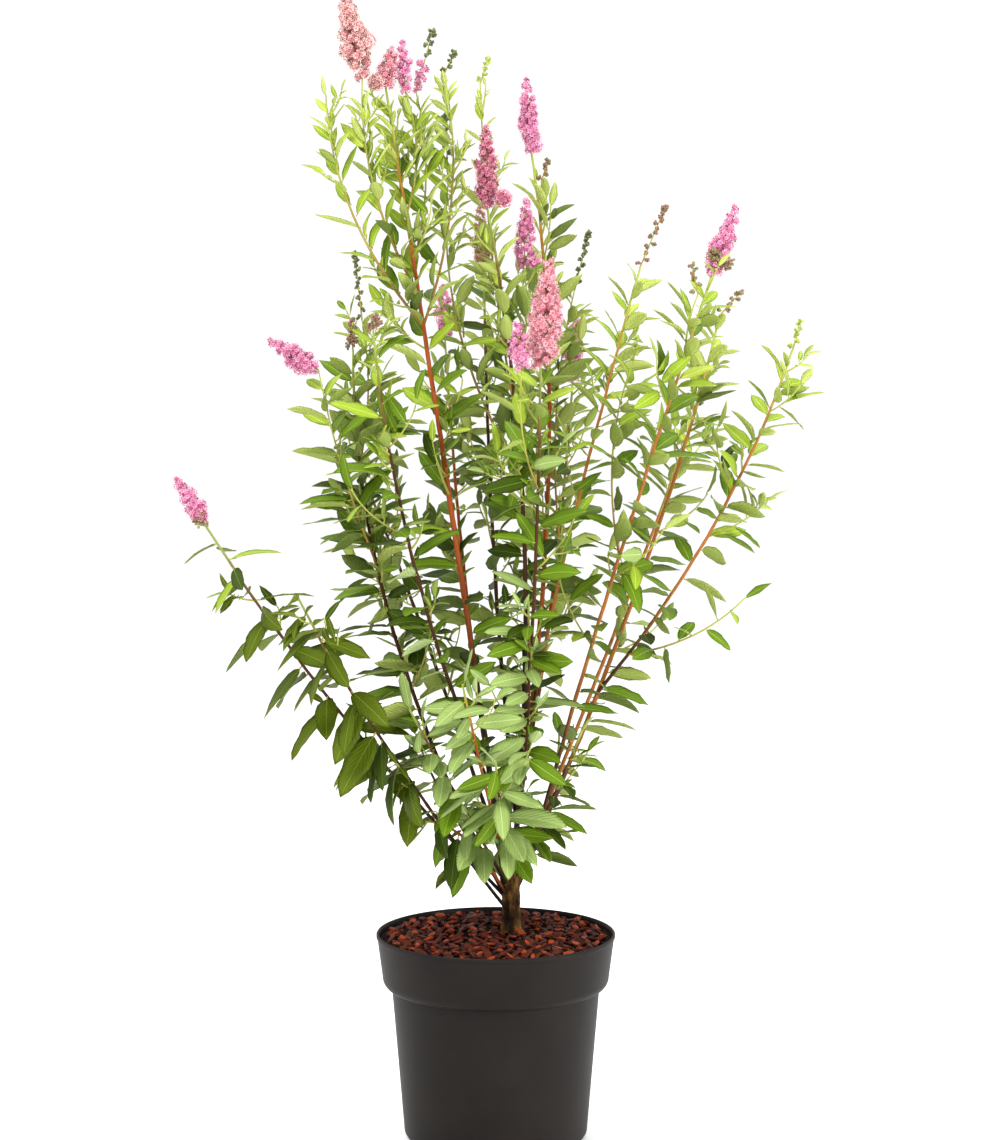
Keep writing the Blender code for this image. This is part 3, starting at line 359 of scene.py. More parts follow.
@dataclass(frozen=True)
class LeafFinish(Finish):
    """Leaf blade: a waxy skin over side veins, satin above and matt below."""

    name: str
    colour: str
    roughness: float
    vein_strength: float
    vein_depth: float = 0.0006
    veins: float = 9.0
    slant: float = 2.2
    shine: float = 0.10

    def inputs(self, tree: Tree) -> dict:
        """Returns one plain colour, which stays exact on joined leaves, and the side veins as relief."""
        uv = add_node(tree, "ShaderNodeUVMap", uv_map="blade")
        place = add_node(tree, "ShaderNodeSeparateXYZ", {"Vector": uv})
        side = add_node(tree, "ShaderNodeMath", {0: place.outputs["Y"], 1: 0.5}, operation="SUBTRACT")
        off_rib = add_node(tree, "ShaderNodeMath", {0: side}, operation="ABSOLUTE")
        lean = add_node(tree, "ShaderNodeMath", {0: off_rib, 1: self.slant}, operation="MULTIPLY")
        along = add_node(tree, "ShaderNodeMath", {0: place.outputs["X"], 1: lean}, operation="SUBTRACT")
        turns = add_node(tree, "ShaderNodeMath", {0: along, 1: self.veins * FULL_TURN}, operation="MULTIPLY")
        wave = add_node(tree, "ShaderNodeMath", {0: turns}, operation="SINE")
        relief = {"Strength": self.vein_strength, "Distance": self.vein_depth, "Height": wave}
        return skin(srgb(self.colour), self.roughness, self.shine, add_node(tree, "ShaderNodeBump", relief))


@dataclass(frozen=True)
class PetalFinish(Finish):
    """Petals, stamens, buds and midribs: one soft colour with a velvet grain, drawn coarse enough to show."""

    name: str
    colour: str
    roughness: float = 0.65
    grain_mm: float = 0.8
    shine: float = 0.25

    def inputs(self, tree: Tree) -> dict:
        """Returns the colour and the grain."""
        colour = srgb(self.colour)
        return skin(colour, self.roughness, self.shine, grain(tree, self.grain_mm, 2.0, 0.3, 0.0003))


@dataclass(frozen=True)
class StemFinish(Finish):
    """Stem bark: thin and smooth, green at the tip and turning to coloured bark with pale pores."""

    name: str
    young: str
    turning: str
    bark: str
    old: str
    mottle_mm: float = 14.0
    mottle: float = 0.06
    pore_mm: float = 3.5
    roughness: float = 0.60
    shine: float = 0.15

    def inputs(self, tree: Tree) -> dict:
        """Returns the colours by the age that each point of a stem holds, and the pores."""
        spot = add_node(tree, "ShaderNodeTexCoord").outputs["Object"]
        age = add_node(tree, "ShaderNodeAttribute", attribute_name="age").outputs["Fac"]
        pattern = {"Vector": spot, "Scale": MM_PER_METRE / self.mottle_mm, "Detail": 4.0}
        mottle = add_node(tree, "ShaderNodeTexNoise", pattern)
        spread = {"Value": mottle, "To Min": -self.mottle, "To Max": self.mottle}
        shift = add_node(tree, "ShaderNodeMapRange", spread)
        place = add_node(tree, "ShaderNodeMath", {0: age, 1: shift}, operation="ADD")
        stops = {0.04: self.young, 0.14: self.turning, 0.28: self.bark, 0.78: self.bark, 0.97: self.old}
        colour = add_node(tree, "ShaderNodeValToRGB", {"Fac": place}, stops)
        return skin(colour, self.roughness, self.shine, grain(tree, self.pore_mm, 3.0, 0.5, 0.0005))


@dataclass(frozen=True)
class TrunkFinish(Finish):
    """Old bark: brown and olive-tan patches drawn out along the trunk, flaking, rough and dull."""

    name: str = "old_spirea_bark"
    patch_mm: float = 9.0
    flake_mm: float = 2.2
    flake_depth: float = 0.0012
    drawn_out: float = 0.4
    roughness: float = 0.85
    shine: float = 0.12

    def inputs(self, tree: Tree) -> dict:
        """Returns the patches and the flakes."""
        spot = add_node(tree, "ShaderNodeTexCoord").outputs["Object"]
        drawn = add_node(tree, "ShaderNodeMapping", {"Vector": spot, "Scale": (1, 1, self.drawn_out)})
        pattern = {"Vector": drawn, "Scale": MM_PER_METRE / self.patch_mm, "Detail": 6.0}
        patches = add_node(tree, "ShaderNodeTexNoise", pattern)
        flakes = add_node(
            tree, "ShaderNodeTexVoronoi", {"Vector": drawn, "Scale": MM_PER_METRE / self.flake_mm}
        )
        stops = {0.34: "#180D04", 0.46: "#35200B", 0.57: "#5C421A", 0.70: "#7E6630"}
        relief = {"Strength": 0.8, "Distance": self.flake_depth, "Height": flakes}
        colour = add_node(tree, "ShaderNodeValToRGB", {"Fac": patches}, stops)
        return skin(colour, self.roughness, self.shine, add_node(tree, "ShaderNodeBump", relief))


@dataclass(frozen=True)
class ChipFinish(Finish):
    """Composted bark chips: fibrous and damp, so that some faces shine a little."""

    name: str
    colour: str
    roughness: float = 0.55
    fibre_mm: float = 1.6
    shine: float = 0.12

    def inputs(self, tree: Tree) -> dict:
        """Returns the colour and the fibres."""
        colour = srgb(self.colour)
        return skin(colour, self.roughness, self.shine, grain(tree, self.fibre_mm, 5.0, 0.9, 0.0015))


@dataclass(frozen=True)
class PotFinish(Finish):
    """Injection-moulded polypropylene, dark grey: satin, with a fine grain and dusty patches."""

    name: str = "moulded_polypropylene"
    colour: str = "#120E0C"
    dusty: str = "#1B1613"
    grain_mm: float = 1.1
    patch_mm: float = 60.0
    gloss: Pair = (0.46, 0.58)
    shine: float = 0.12

    def inputs(self, tree: Tree) -> dict:
        """Returns the dusty patches, which are duller too, and the grain."""
        spot = add_node(tree, "ShaderNodeTexCoord").outputs["Object"]
        pattern = {"Vector": spot, "Scale": MM_PER_METRE / self.patch_mm, "Detail": 5.0}
        patches = add_node(tree, "ShaderNodeTexNoise", pattern)
        dulled = {"Value": patches, "To Min": self.gloss[0], "To Max": self.gloss[1]}
        stops = {0.35: self.colour, 0.75: self.dusty}
        colour = add_node(tree, "ShaderNodeValToRGB", {"Fac": patches}, stops)
        normal = grain(tree, self.grain_mm, 2.0, 0.12, 0.0003)
        return skin(colour, add_node(tree, "ShaderNodeMapRange", dulled), self.shine, normal)


@dataclass(frozen=True)
class PaperFinish(Finish):
    """Background paper of a studio: off-white and matt."""

    name: str = "pale_paper"
    colour: str = "#FAFAF9"
    roughness: float = 0.9

    def inputs(self, tree: Tree) -> dict:
        """Returns the colour and its dullness."""
        return {"Base Color": srgb(self.colour), "Roughness": self.roughness}


LEAF_COLOURS = {
    Tone.OLIVE: ("#4C5C08", "#6E7A30", "#707E22"),
    Tone.DEEP: ("#344604", "#627234", "#586E1C"),
    Tone.GREEN: ("#5A7612", "#8E9D4C", "#869C3C"),
    Tone.FRESH: ("#8AA22C", "#A6B35C", "#AEC058"),
    Tone.LIME: ("#A4B63E", "#B8C468", "#C6D274"),
    Tone.SAGE: ("#8AA058", "#9EB074", "#B2C382"),
}
STEM_COLOURS = {
    Bark.RED: StemFinish("red_stem_bark", "#97A544", "#B07F36", "#94481C", "#33200F"),
    Bark.ORANGE: StemFinish("orange_stem_bark", "#9AA846", "#A88A40", "#9C602C", "#442A16"),
    Bark.DARK: StemFinish("dark_stem_bark", "#869648", "#70562A", "#452914", "#1D140A"),
}
SHOOT_SKIN = StemFinish("green_shoot_skin", "#A3B656", "#9A9C48", "#96703A", "#6A4526")
BLOOM_COLOURS = {
    Bloom.PINK: ("#D588A9", "#BE6A90", "#A35678", "#EABACC"),
    Bloom.SALMON: ("#CFA09C", "#BA7C7E", "#9A6060", "#EACCC2"),
    Bloom.BLUSH: ("#D4949F", "#C0757F", "#A45A68", "#ECC4C8"),
    Bloom.ROSE: ("#C27188", "#A25468", "#85394A", "#DFA6B6"),
    Bloom.RUST: ("#B98A76", "#9A6C54", "#784E38", "#D6B09C"),
}
BUD_COLOURS = {
    Bloom.BUD_GREEN: ("#464F2E", "#687042"),
    Bloom.BUD_ROSE: ("#8A5A50", "#6C6A42"),
    Bloom.BUD_TAN: ("#7A5A44", "#7E7C4A"),
    Bloom.BUD_LIME: ("#82943A", "#A2B156"),
}


def link(name: str, data: bpy.types.ID) -> Object:
    """Makes an object of a mesh, a lamp or a camera and puts it in the scene."""
    obj = bpy.data.objects.new(name, data)
    bpy.context.scene.collection.objects.link(obj)
    return obj


def from_work(name: str, work: bmesh.types.BMesh) -> Object:
    """Makes an object of a worked mesh, which it frees."""
    mesh = bpy.data.meshes.new(name)
    work.to_mesh(mesh)
    work.free()
    return link(name, mesh)


def evaluated_mesh(obj: Object) -> Mesh:
    """Returns a new mesh of an object as its modifiers make it."""
    bpy.context.view_layer.update()
    graph = bpy.context.evaluated_depsgraph_get()
    return bpy.data.meshes.new_from_object(obj.evaluated_get(graph))


def stand_for(piece: Object, slot: str, *nodes: str) -> Object:
    """Hides the imported nodes that a finished piece stands for, and returns the piece."""
    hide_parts(*nodes)
    return piece


def new_group(name: str, inputs: dict[str, str], kinds: int = 1) -> tuple[Tree, Node]:
    """Makes a Geometry Nodes tree with a geometry in and out.

    Args:
        name: The tree's name.
        inputs: Name of each further input to the last word of its socket's type.
        kinds: How many materials it takes.

    Returns:
        The tree and its input node.
    """
    tree = bpy.data.node_groups.new(name, "GeometryNodeTree")
    tree.interface.new_socket("Geometry", in_out="OUTPUT", socket_type="NodeSocketGeometry")
    materials = {f"Material {kind}": "Material" for kind in range(kinds)}
    for label, kind in {"Geometry": "Geometry", **inputs, **materials}.items():
        tree.interface.new_socket(label, in_out="INPUT", socket_type=f"NodeSocket{kind}")
    return tree, add_node(tree, "NodeGroupInput")


def end_group(tree: Tree, given: Node, shape: Node, kinds: int = 1) -> Tree:
    """Ends a tree with real geometry and its materials.

    Args:
        tree: The tree.
        given: Its input node.
        shape: The node that makes the geometry.
        kinds: How many materials it has. With more than one, each face holds its number as kind.

    Returns:
        The tree.
    """
    last = add_node(tree, "GeometryNodeRealizeInstances", {"Geometry": shape})
    kind_of = add_node(tree, "GeometryNodeInputNamedAttribute", {"Name": "kind"}, data_type="INT")
    for kind in range(kinds):
        inputs = {"Geometry": last, "Material": given.outputs[f"Material {kind}"]}
        if kinds > 1:
            compared = {2: kind_of, 3: kind}
            inputs["Selection"] = add_node(
                tree, "FunctionNodeCompare", compared, data_type="INT", operation="EQUAL"
            )
        last = add_node(tree, "GeometryNodeSetMaterial", inputs)
    add_node(tree, "NodeGroupOutput", {"Geometry": last})
    return tree


def run_group(obj: Object, tree: Tree, values: dict, *finishes: Finish) -> Object:
    """Runs a tree on an object and keeps the result as the object's plain mesh.

    Args:
        obj: The object whose mesh the tree takes.
        tree: The tree.
        values: Input name to value.
        finishes: The finish of each kind of face.

    Returns:
        The same object.
    """
    modifier = obj.modifiers.new(tree.name, "NODES")
    modifier.node_group = tree
    materials = {f"Material {kind}": finish.make() for kind, finish in enumerate(finishes)}
    values = {**values, **materials}
    for socket in tree.interface.items_tree:
        if socket.in_out == "INPUT" and socket.name in values:
            modifier[socket.identifier] = values[socket.name]
    mesh = evaluated_mesh(obj)
    obj.modifiers.remove(modifier)
    mesh.name = obj.name
    obj.data = mesh
    return obj


def points_object(name: str, points: list, edges: list, values: dict[str, list]) -> Object:
    """Makes an object of bare points or lines that hold values for a tree to read.

    Args:
        name: The object's name.
        points: Places.
        edges: Pairs of point numbers.
        values: Attribute name to one number or one vector for each point.

    Returns:
        The object.
    """
    mesh = bpy.data.meshes.new(name)
    mesh.from_pydata([tuple(point) for point in points], edges, [])
    for label, entries in values.items():
        rows = [tuple(entry) if isinstance(entry, Vector) else entry for entry in entries]
        array = np.array(rows, np.float32)
        kind, part = ("FLOAT_VECTOR", "vector") if array.ndim == 2 else ("FLOAT", "value")
        mesh.attributes.new(label, kind, "POINT").data.foreach_set(part, array.ravel())
    return link(name, mesh)


def tube_tree() -> Tree:
    """Makes the tree that turns lines with a radius into round stems with a relief on their bark."""
    sockets = {"Sides": "Int", "Wander": "Float", "Relief": "Float", "Relief Scale": "Float"}
    tree, given = new_group("grow_stems", sockets)
    sides, wander, relief, scale = (given.outputs[label] for label in sockets)
    curve = add_node(tree, "GeometryNodeMeshToCurve", {"Mesh": given})
    sway = add_node(tree, "ShaderNodeTexNoise", {"Scale": 22.0, "Detail": 1.0}).outputs["Color"]
    centred = add_node(tree, "ShaderNodeVectorMath", {0: sway, 1: (0.5, 0.5, 0.5)}, operation="SUBTRACT")
    offset = add_node(tree, "ShaderNodeVectorMath", {0: centred, "Scale": wander}, operation="SCALE")
    swayed = add_node(tree, "GeometryNodeSetPosition", {"Geometry": curve, "Offset": offset})
    girth = add_node(tree, "GeometryNodeInputNamedAttribute", {"Name": "girth"}, data_type="FLOAT")
    ring = add_node(tree, "GeometryNodeCurvePrimitiveCircle", {"Resolution": sides, "Radius": 1.0})
    parts = {"Curve": swayed, "Profile Curve": ring, "Scale": girth, "Fill Caps": True}
    tube = add_node(tree, "GeometryNodeCurveToMesh", parts)
    rough = add_node(tree, "ShaderNodeTexNoise", {"Scale": scale, "Detail": 3.0})
    level = add_node(tree, "ShaderNodeMath", {0: rough, 1: 0.5}, operation="SUBTRACT")
    height = add_node(tree, "ShaderNodeMath", {0: level, 1: relief}, operation="MULTIPLY")
    share = add_node(tree, "ShaderNodeMath", {0: height, 1: girth}, operation="MULTIPLY")
    normal = add_node(tree, "GeometryNodeInputNormal")
    push = add_node(tree, "ShaderNodeVectorMath", {0: normal, "Scale": share}, operation="SCALE")
    carved = add_node(tree, "GeometryNodeSetPosition", {"Geometry": tube, "Offset": push})
    return end_group(tree, given, add_node(tree, "GeometryNodeSetShadeSmooth", {"Geometry": carved}))


def cluster_tree(kinds: int) -> Tree:
    """Makes the tree that sets a small shape of so many materials on each point, facing as the point says."""
    tree, given = new_group(f"set_clusters_{kinds}", {"Shape": "Object", "Seed": "Int"}, kinds)
    shape = add_node(tree, "GeometryNodeObjectInfo", {"Object": given.outputs["Shape"]})
    facing = add_node(tree, "GeometryNodeInputNamedAttribute", {"Name": "facing"}, data_type="FLOAT_VECTOR")
    size = add_node(tree, "GeometryNodeInputNamedAttribute", {"Name": "size"}, data_type="FLOAT")
    turned = add_node(tree, "FunctionNodeAlignRotationToVector", {"Vector": facing}, axis="Z")
    reach = {"Max": (0.0, 0.0, FULL_TURN), "Seed": given.outputs["Seed"]}
    spin = add_node(tree, "FunctionNodeRandomValue", reach, data_type="FLOAT_VECTOR")
    turns = {"Rotation": turned, "Rotate By": spin}
    rotated = add_node(tree, "FunctionNodeRotateRotation", turns, rotation_space="LOCAL")
    parts = {"Points": given, "Instance": shape.outputs["Geometry"], "Rotation": rotated, "Scale": size}
    return end_group(tree, given, add_node(tree, "GeometryNodeInstanceOnPoints", parts), kinds)


def chip_tree() -> Tree:
    """Makes the tree that scatters bark chips over a surface."""
    sockets = {
        "Chip": "Object",
        "Spacing": "Float",
        "Density": "Float",
        "Seed": "Int",
        "Smallest": "Vector",
        "Largest": "Vector",
    }
    tree, given = new_group("scatter_chips", sockets)
    chip, spacing, density, seed, smallest, largest = (given.outputs[label] for label in sockets)
    spots = {"Mesh": given, "Distance Min": spacing, "Density Max": density, "Seed": seed}
    points = add_node(tree, "GeometryNodeDistributePointsOnFaces", spots, distribute_method="POISSON")
    shape = add_node(tree, "GeometryNodeObjectInfo", {"Object": chip})
    tilts = {"Min": (-0.6, -0.6, 0.0), "Max": (0.6, 0.6, FULL_TURN), "Seed": seed}
    turn = add_node(tree, "FunctionNodeRandomValue", tilts, data_type="FLOAT_VECTOR")
    sizes = {"Min": smallest, "Max": largest, "Seed": seed}
    size = add_node(tree, "FunctionNodeRandomValue", sizes, data_type="FLOAT_VECTOR")
    parts = {"Points": points, "Instance": shape.outputs["Geometry"], "Rotation": turn, "Scale": size}
    return end_group(tree, given, add_node(tree, "GeometryNodeInstanceOnPoints", parts))


def distances(points: np.ndarray, starts: np.ndarray, ends: np.ndarray) -> np.ndarray:
    """Measures the distance from each point to each straight piece.

    Args:
        points: Places, one row each.
        starts: First end of each piece.
        ends: Other end of each piece.

    Returns:
        One row for each point and one column for each piece.
    """
    points = np.asarray(points, float).reshape(-1, 1, 3)
    span = ends - starts
    reach = np.maximum((span**2).sum(axis=1), 1e-12)
    share = np.clip(((points - starts) * span).sum(axis=2) / reach, 0.0, 1.0)
    return np.linalg.norm(points - (starts + share[..., None] * span), axis=2)


def joined(groups: list[Segments]) -> Segments:
    """Joins several sets of straight pieces into one."""
    starts, ends, radii = (np.concatenate(arrays) for arrays in zip(*groups))
    return starts, ends, radii


def curve_point(foot: Vector, bend: Vector, tip: Vector, share: float) -> Vector:
    """Returns a point on the curve from foot to tip that passes bend half way."""
    share = float(share)
    control = 2.0 * bend - 0.5 * (foot + tip)
    rest = 1.0 - share
    return rest * rest * foot + 2.0 * rest * share * control + share * share * tip


def sideways(axis: Vector, turn: float) -> Vector:
    """Returns a unit vector square to axis, at the angle turn around it."""
    across = axis.cross(Vector((0.0, 1.0, 0.0)))
    if across.length < 0.1:
        across = axis.cross(Vector((1.0, 0.0, 0.0)))
    across.normalize()
    return Matrix.Rotation(turn, 3, axis) @ across


@dataclass(frozen=True)
class TrunkRule:
    """Sizes of the trunk, from the flat cut at the bark's surface to its fork."""

    foot: Point = (0.016, 0.015, 0.1973)
    height: float = 0.0625
    lean: Point = (-0.003, 0.0, 0.0)
    shaft: float = 0.0086
    flare: float = 0.0036
    flare_height: float = 0.009
    head: float = 0.0106

    def point(self, share: float) -> Vector:
        """Returns a point on the centreline, upright at the cut and leaning above it."""
        share = float(share)
        return Vector(self.foot) + Vector(self.lean) * share * share + self.height * share * UP

    def radius(self, share: float) -> float:
        """Returns the radius: the flare, the shaft, and the swelling under the fork."""
        flare = self.flare * math.exp(-share * self.height / self.flare_height)
        return self.shaft + flare + (self.head - self.shaft) * share**3


@dataclass
class Skeleton:
    """Every limb's curve and radius, and where it starts clear of what carries it."""

    trunk: TrunkRule
    tip_radius: float = 0.0010
    taper_power: float = 0.6
    fork_spread: float = 0.0060
    fork_turn: float = math.radians(195)
    fork_clearance: float = 0.0004
    last_fork_share: float = 0.6
    gap: float = 0.0003
    pieces: int = 24
    start_steps: int = 240
    tangent: float = 0.01
    feet: dict[str, Vector] = field(default_factory=dict)
    starts: dict[str, float] = field(default_factory=dict)
    placed: dict[str, Segments] = field(default_factory=dict)

    def __post_init__(self) -> None:
        """Places every limb's foot, in the order of the lists."""
        self.limbs = {limb.name: limb for limb in LIMBS + LOW_SHOOTS}
        self.placed["trunk"] = self.capsules("trunk", 0.0, 1.0)
        ring = [limb for limb in LIMBS if limb.parent == "trunk" and limb.fork == 1.0]
        for limb in self.limbs.values():
            if limb in ring:
                turn = self.fork_turn + FULL_TURN * ring.index(limb) / len(ring)
                out = Vector((math.cos(turn), math.sin(turn), 0.0)) * self.fork_spread
                self.feet[limb.name] = self.trunk.point(1.0) + out + self.gap * UP
                self.starts[limb.name] = 0.0
            else:
                self.feet[limb.name] = self.point(limb.parent, limb.fork)
                self.starts[limb.name] = self.clear_start(limb.name)
            self.placed[limb.name] = self.capsules(limb.name, self.starts[limb.name], 1.0)

    def point(self, name: str, share: float) -> Vector:
        """Returns a point on the centreline of the trunk or a limb."""
        if name == "trunk":
            return self.trunk.point(share)
        limb = self.limbs[name]
        return curve_point(self.feet[name], Vector(limb.bend), Vector(limb.tip), share)

    def radius(self, name: str, share: float) -> float:
        """Returns the radius of the trunk or a limb."""
        if name == "trunk":
            return self.trunk.radius(share)
        girth = self.limbs[name].girth
        return self.tip_radius + (girth - self.tip_radius) * (1.0 - share) ** self.taper_power

    def direction(self, name: str, share: float) -> Vector:
        """Returns the unit direction of a limb's centreline, towards its tip."""
        ahead, behind = self.point(name, share + self.tangent), self.point(name, share - self.tangent)
        return (ahead - behind).normalized()

    def capsules(self, name: str, first: float, last: float) -> Segments:
        """Returns the straight pieces with a radius that stand for part of a limb."""
        shares = np.linspace(first, last, self.pieces + 1)
        points = np.array([self.point(name, share) for share in shares])
        radii = np.array([self.radius(name, share) for share in shares])
        return points[:-1], points[1:], np.maximum(radii[:-1], radii[1:])

    def bough(self, name: str) -> Segments:
        """Returns the straight pieces that stand for a limb's bough."""
        return self.capsules(name, self.starts[name], max(self.limbs[name].leafy, self.starts[name]))

    def clear_start(self, name: str) -> float:
        """Returns the share of the curve from which a limb stands clear of those placed before it."""
        shares = np.linspace(0.0, self.last_fork_share, self.start_steps + 1)
        points = [self.point(name, share) for share in shares]
        radii = np.array([self.radius(name, share) for share in shares])
        clear = np.ones(len(shares), bool)
        for starts, ends, girths in self.placed.values():
            gaps = distances(points, starts, ends) - girths - radii[:, None]
            clear &= gaps.min(axis=1) > self.fork_clearance
        blocked = np.flatnonzero(~clear)
        return float(shares[blocked[-1] + 1]) if len(blocked) else 0.0

    def line(self, name: str, first: float, last: float, rings: int) -> list[Vector]:
        """Returns points along part of a limb."""
        return [self.point(name, share) for share in np.linspace(first, last, rings + 1)]


@dataclass
class Twig:
    """A stem, side shoot or spur: the line that carries its leaves, and the finer line that is drawn.

    leafed is the share of it that its leaves reach.
    """

    limb: Limb
    points: list[Vector]
    path: list[Vector]
    girth: float
    flower: Flower | None = None
    leafed: float = 0.0

    @property
    def length(self) -> float:
        """Returns the length of its line."""
        return sum((b - a).length for a, b in zip(self.points, self.points[1:]))

    def at(self, travel: float) -> tuple[Vector, Vector]:
        """Returns the point at a distance along its line, and the line's direction there."""
        for start, end in zip(self.points, self.points[1:]):
            step = (end - start).length
            if travel <= step:
                break
            travel -= step
        axis = (end - start).normalized()
        return start + axis * min(travel, step), axis


@dataclass(frozen=True)
class Leaf:
    """A leaf's root on its twig, its axes, its length and its colour."""

    root: Vector
    along: Vector
    normal: Vector
    length: float
    tone: Tone
    youth: float


@dataclass
class Mass:
    """The foliage of one limb."""

    limb: Limb
    twigs: list[Twig]
    spurs: list[Twig] = field(default_factory=list)
    leaves: list[Leaf] = field(default_factory=list)
    twig_radius: float = 0.0015

    def bones(self) -> Segments:
        """Returns the straight pieces of its twigs and flower spikes."""
        starts, ends, radii = [], [], []
        for twig in self.twigs:
            starts += twig.points[:-1]
            ends += twig.points[1:]
            radii += [self.twig_radius] * (len(twig.points) - 1)
            if twig.flower:
                starts.append(twig.points[-1])
                ends.append(Vector(twig.flower.top))
                radii.append(0.5 * twig.flower.width)
        return np.array(starts), np.array(ends), np.array(radii)


@dataclass(frozen=True)
class ShootRule:
    """How side shoots leave their stem, longest low on it."""

    pitch: float = 0.075
    length: float = 0.074
    low_growth: float = 1.15
    tip_loss: float = 0.6
    sizes: Pair = (0.75, 1.15)
    steps: Pair = (0.3, 0.7)
    angle: float = math.radians(42)
    rise: float = 0.12
    bow: float = 0.10
    clearance: float = 0.024
    first: float = 0.22
    last: float = 0.86
    girth: float = 0.55
    tall_girth: float = 0.70
    stem_rings: int = 6
    shoot_rings: int = 3
    drawn_rings: int = 12


@dataclass(frozen=True)
class Seat:
    """Where a leaf leaves its twig: the twig's direction there, and the leaf's angles around and off it."""

    root: Vector
    axis: Vector
    turn: float
    spread: float


@dataclass(frozen=True)
class LeafRule:
    """How leaves stand on a twig: long and drooping low on the shrub, short and upright at its tips."""

    pitch_low: float = 0.0170
    pitch_top: float = 0.0094
    first_step: float = 0.8
    low_first_step: float = 2.4
    last_step: float = 0.5
    length_low: float = 0.061
    length_top: float = 0.031
    length_power: float = 2.2
    tip_loss: float = 0.40
    sizes: Pair = (0.82, 1.12)
    low_z: float = 0.50
    top_z: float = 1.02
    breadth: float = 0.42
    tip_sink: float = 0.0020
    growth: float = 1.10
    on_shoot: float = 0.86
    faces_out: float = 0.75
    droop: float = 0.09
    top_rise: float = 0.26
    droop_range: float = 0.16
    roll: float = 0.40
    crown_middle: Pair = (0.010, 0.030)
    crown_core: float = 0.060
    turn: float = math.radians(40)
    clearance: float = 0.0055
    later_limb_margin: float = 0.0010
    later_size: float = 0.88
    neighbours: float = 0.15
    bone_margin: float = 0.025
    test_width: int = 5
    test_shares: tuple[float, ...] = (0.18, 0.30, 0.42, 0.54, 0.66, 0.78, 0.90, 1.0)
    spread_low: float = math.radians(78)
    spread_top: float = math.radians(48)
    spread_tip: float = math.radians(20)
    space_margin: float = 0.0022
    limb_margin: float = 0.0020

    def youth(self, height: float) -> float:
        """Returns how young the growth at a height is: 0 low on the shrub, 1 at its top."""
        return min(max((height - self.low_z) / (self.top_z - self.low_z), 0.0), 1.0)

    def size(self, height: float, tip_share: float, chance: Random) -> float:
        """Returns a leaf's length for its height and its place on the twig."""
        shortening = (self.length_low - self.length_top) * self.youth(height) ** self.length_power
        size = self.growth * (self.length_low - shortening)
        return size * (1.0 - self.tip_loss * tip_share**3) * chance.uniform(*self.sizes)

    def outward(self, point: Vector) -> Vector:
        """Returns the level direction from the middle of the crown, shorter near the middle."""
        flat = Vector((point.x - self.crown_middle[0], point.y - self.crown_middle[1], 0.0))
        return flat / max(flat.length, self.crown_core)

    def axes(self, seat: Seat, turn: float, hang: float, chance: Random) -> tuple[Vector, Vector]:
        """Works out how a leaf stands off its twig.

        Args:
            seat: Where it leaves the twig.
            turn: Its angle around the twig.
            hang: How far it turns down.
            chance: Its own source of chance.

        Returns:
            The direction to its tip, and the direction its face looks in.
        """
        along = seat.axis * math.cos(seat.spread) + sideways(seat.axis, turn) * math.sin(seat.spread)
        along.z += self.top_rise * self.youth(seat.root.z) - self.droop - hang
        along.z += chance.uniform(-self.droop_range, self.droop_range)
        along.normalize()
        light = UP + self.faces_out * self.outward(seat.root)
        normal = (light - along * light.dot(along)).normalized()
        normal = Matrix.Rotation(chance.gauss(0.0, self.roll), 3, along) @ normal
        return along, normal

    def test_points(self, root: Vector, along: Vector, normal: Vector, length: float) -> np.ndarray:
        """Returns points all over a leaf in rows from its root to its tip."""
        across = normal.cross(along)
        points = []
        for share in self.test_shares:
            middle = root + along * (length * share)
            half = 0.5 * length * self.breadth * (1.0 - abs(2.0 * share - 1.0))
            points += [middle + across * (half * side) for side in np.linspace(-1.0, 1.0, self.test_width)]
        return np.array(points)


@dataclass(frozen=True)
class Trial:
    """How a leaf looks for room: its clearance, whether it keeps to its mass's space, and what it tries."""

    clearance: float
    strict: bool
    turns: int = 9
    shrinks: tuple[float, ...] = (1.0, 0.82, 0.66)


class Space:
    """Tests whether a leaf stays in its mass's space, off the limbs and off the leaves before it."""

    def __init__(self, rule: LeafRule, masses: list[Mass], skeleton: Skeleton) -> None:
        """Gathers the bones of all masses and the boughs."""
        self.rule = rule
        bones = [mass.bones() for mass in masses]
        self.bones = joined(bones)
        self.owners = np.repeat(range(len(masses)), [len(radii) for _, _, radii in bones])
        limbs = [skeleton.bough(limb.name) for limb in LIMBS] + [skeleton.placed["trunk"]]
        self.limbs = joined(limbs)
        self.roots: list[np.ndarray] = []
        self.blades: list[np.ndarray] = []

    def around(self, root: Vector, index: int, size: float) -> "Room":
        """Returns what lies near a root, for the tests of a leaf that grows there.

        Args:
            root: Where the leaf leaves its twig.
            index: The number of its mass.
            size: The leaf's greatest length.

        Returns:
            The blades and bones nearby.
        """
        near = np.zeros((0, 3))
        if self.roots:
            apart = np.linalg.norm(np.array(self.roots) - np.array(root), axis=1)
            found = np.flatnonzero(apart < self.rule.neighbours)
            if len(found):
                near = np.concatenate([self.blades[number] for number in found])
                near = near[np.linalg.norm(near - np.array(root), axis=1) < size + self.rule.clearance]
        parts = []
        for starts, ends, radii, owners in (
            (*self.bones, self.owners),
            (*self.limbs, np.full(len(self.limbs[2]), -1)),
        ):
            close = distances([root], starts, ends)[0] < 2.0 * size + self.rule.bone_margin
            parts.append((starts[close], ends[close], radii[close], owners[close] == index))
        return Room(self.rule, near, parts[0], parts[1])

    def keep(self, root: Vector, blade: np.ndarray) -> None:
        """Keeps a leaf's place from the leaves after it."""
        self.roots.append(np.array(root))
        self.blades.append(blade)


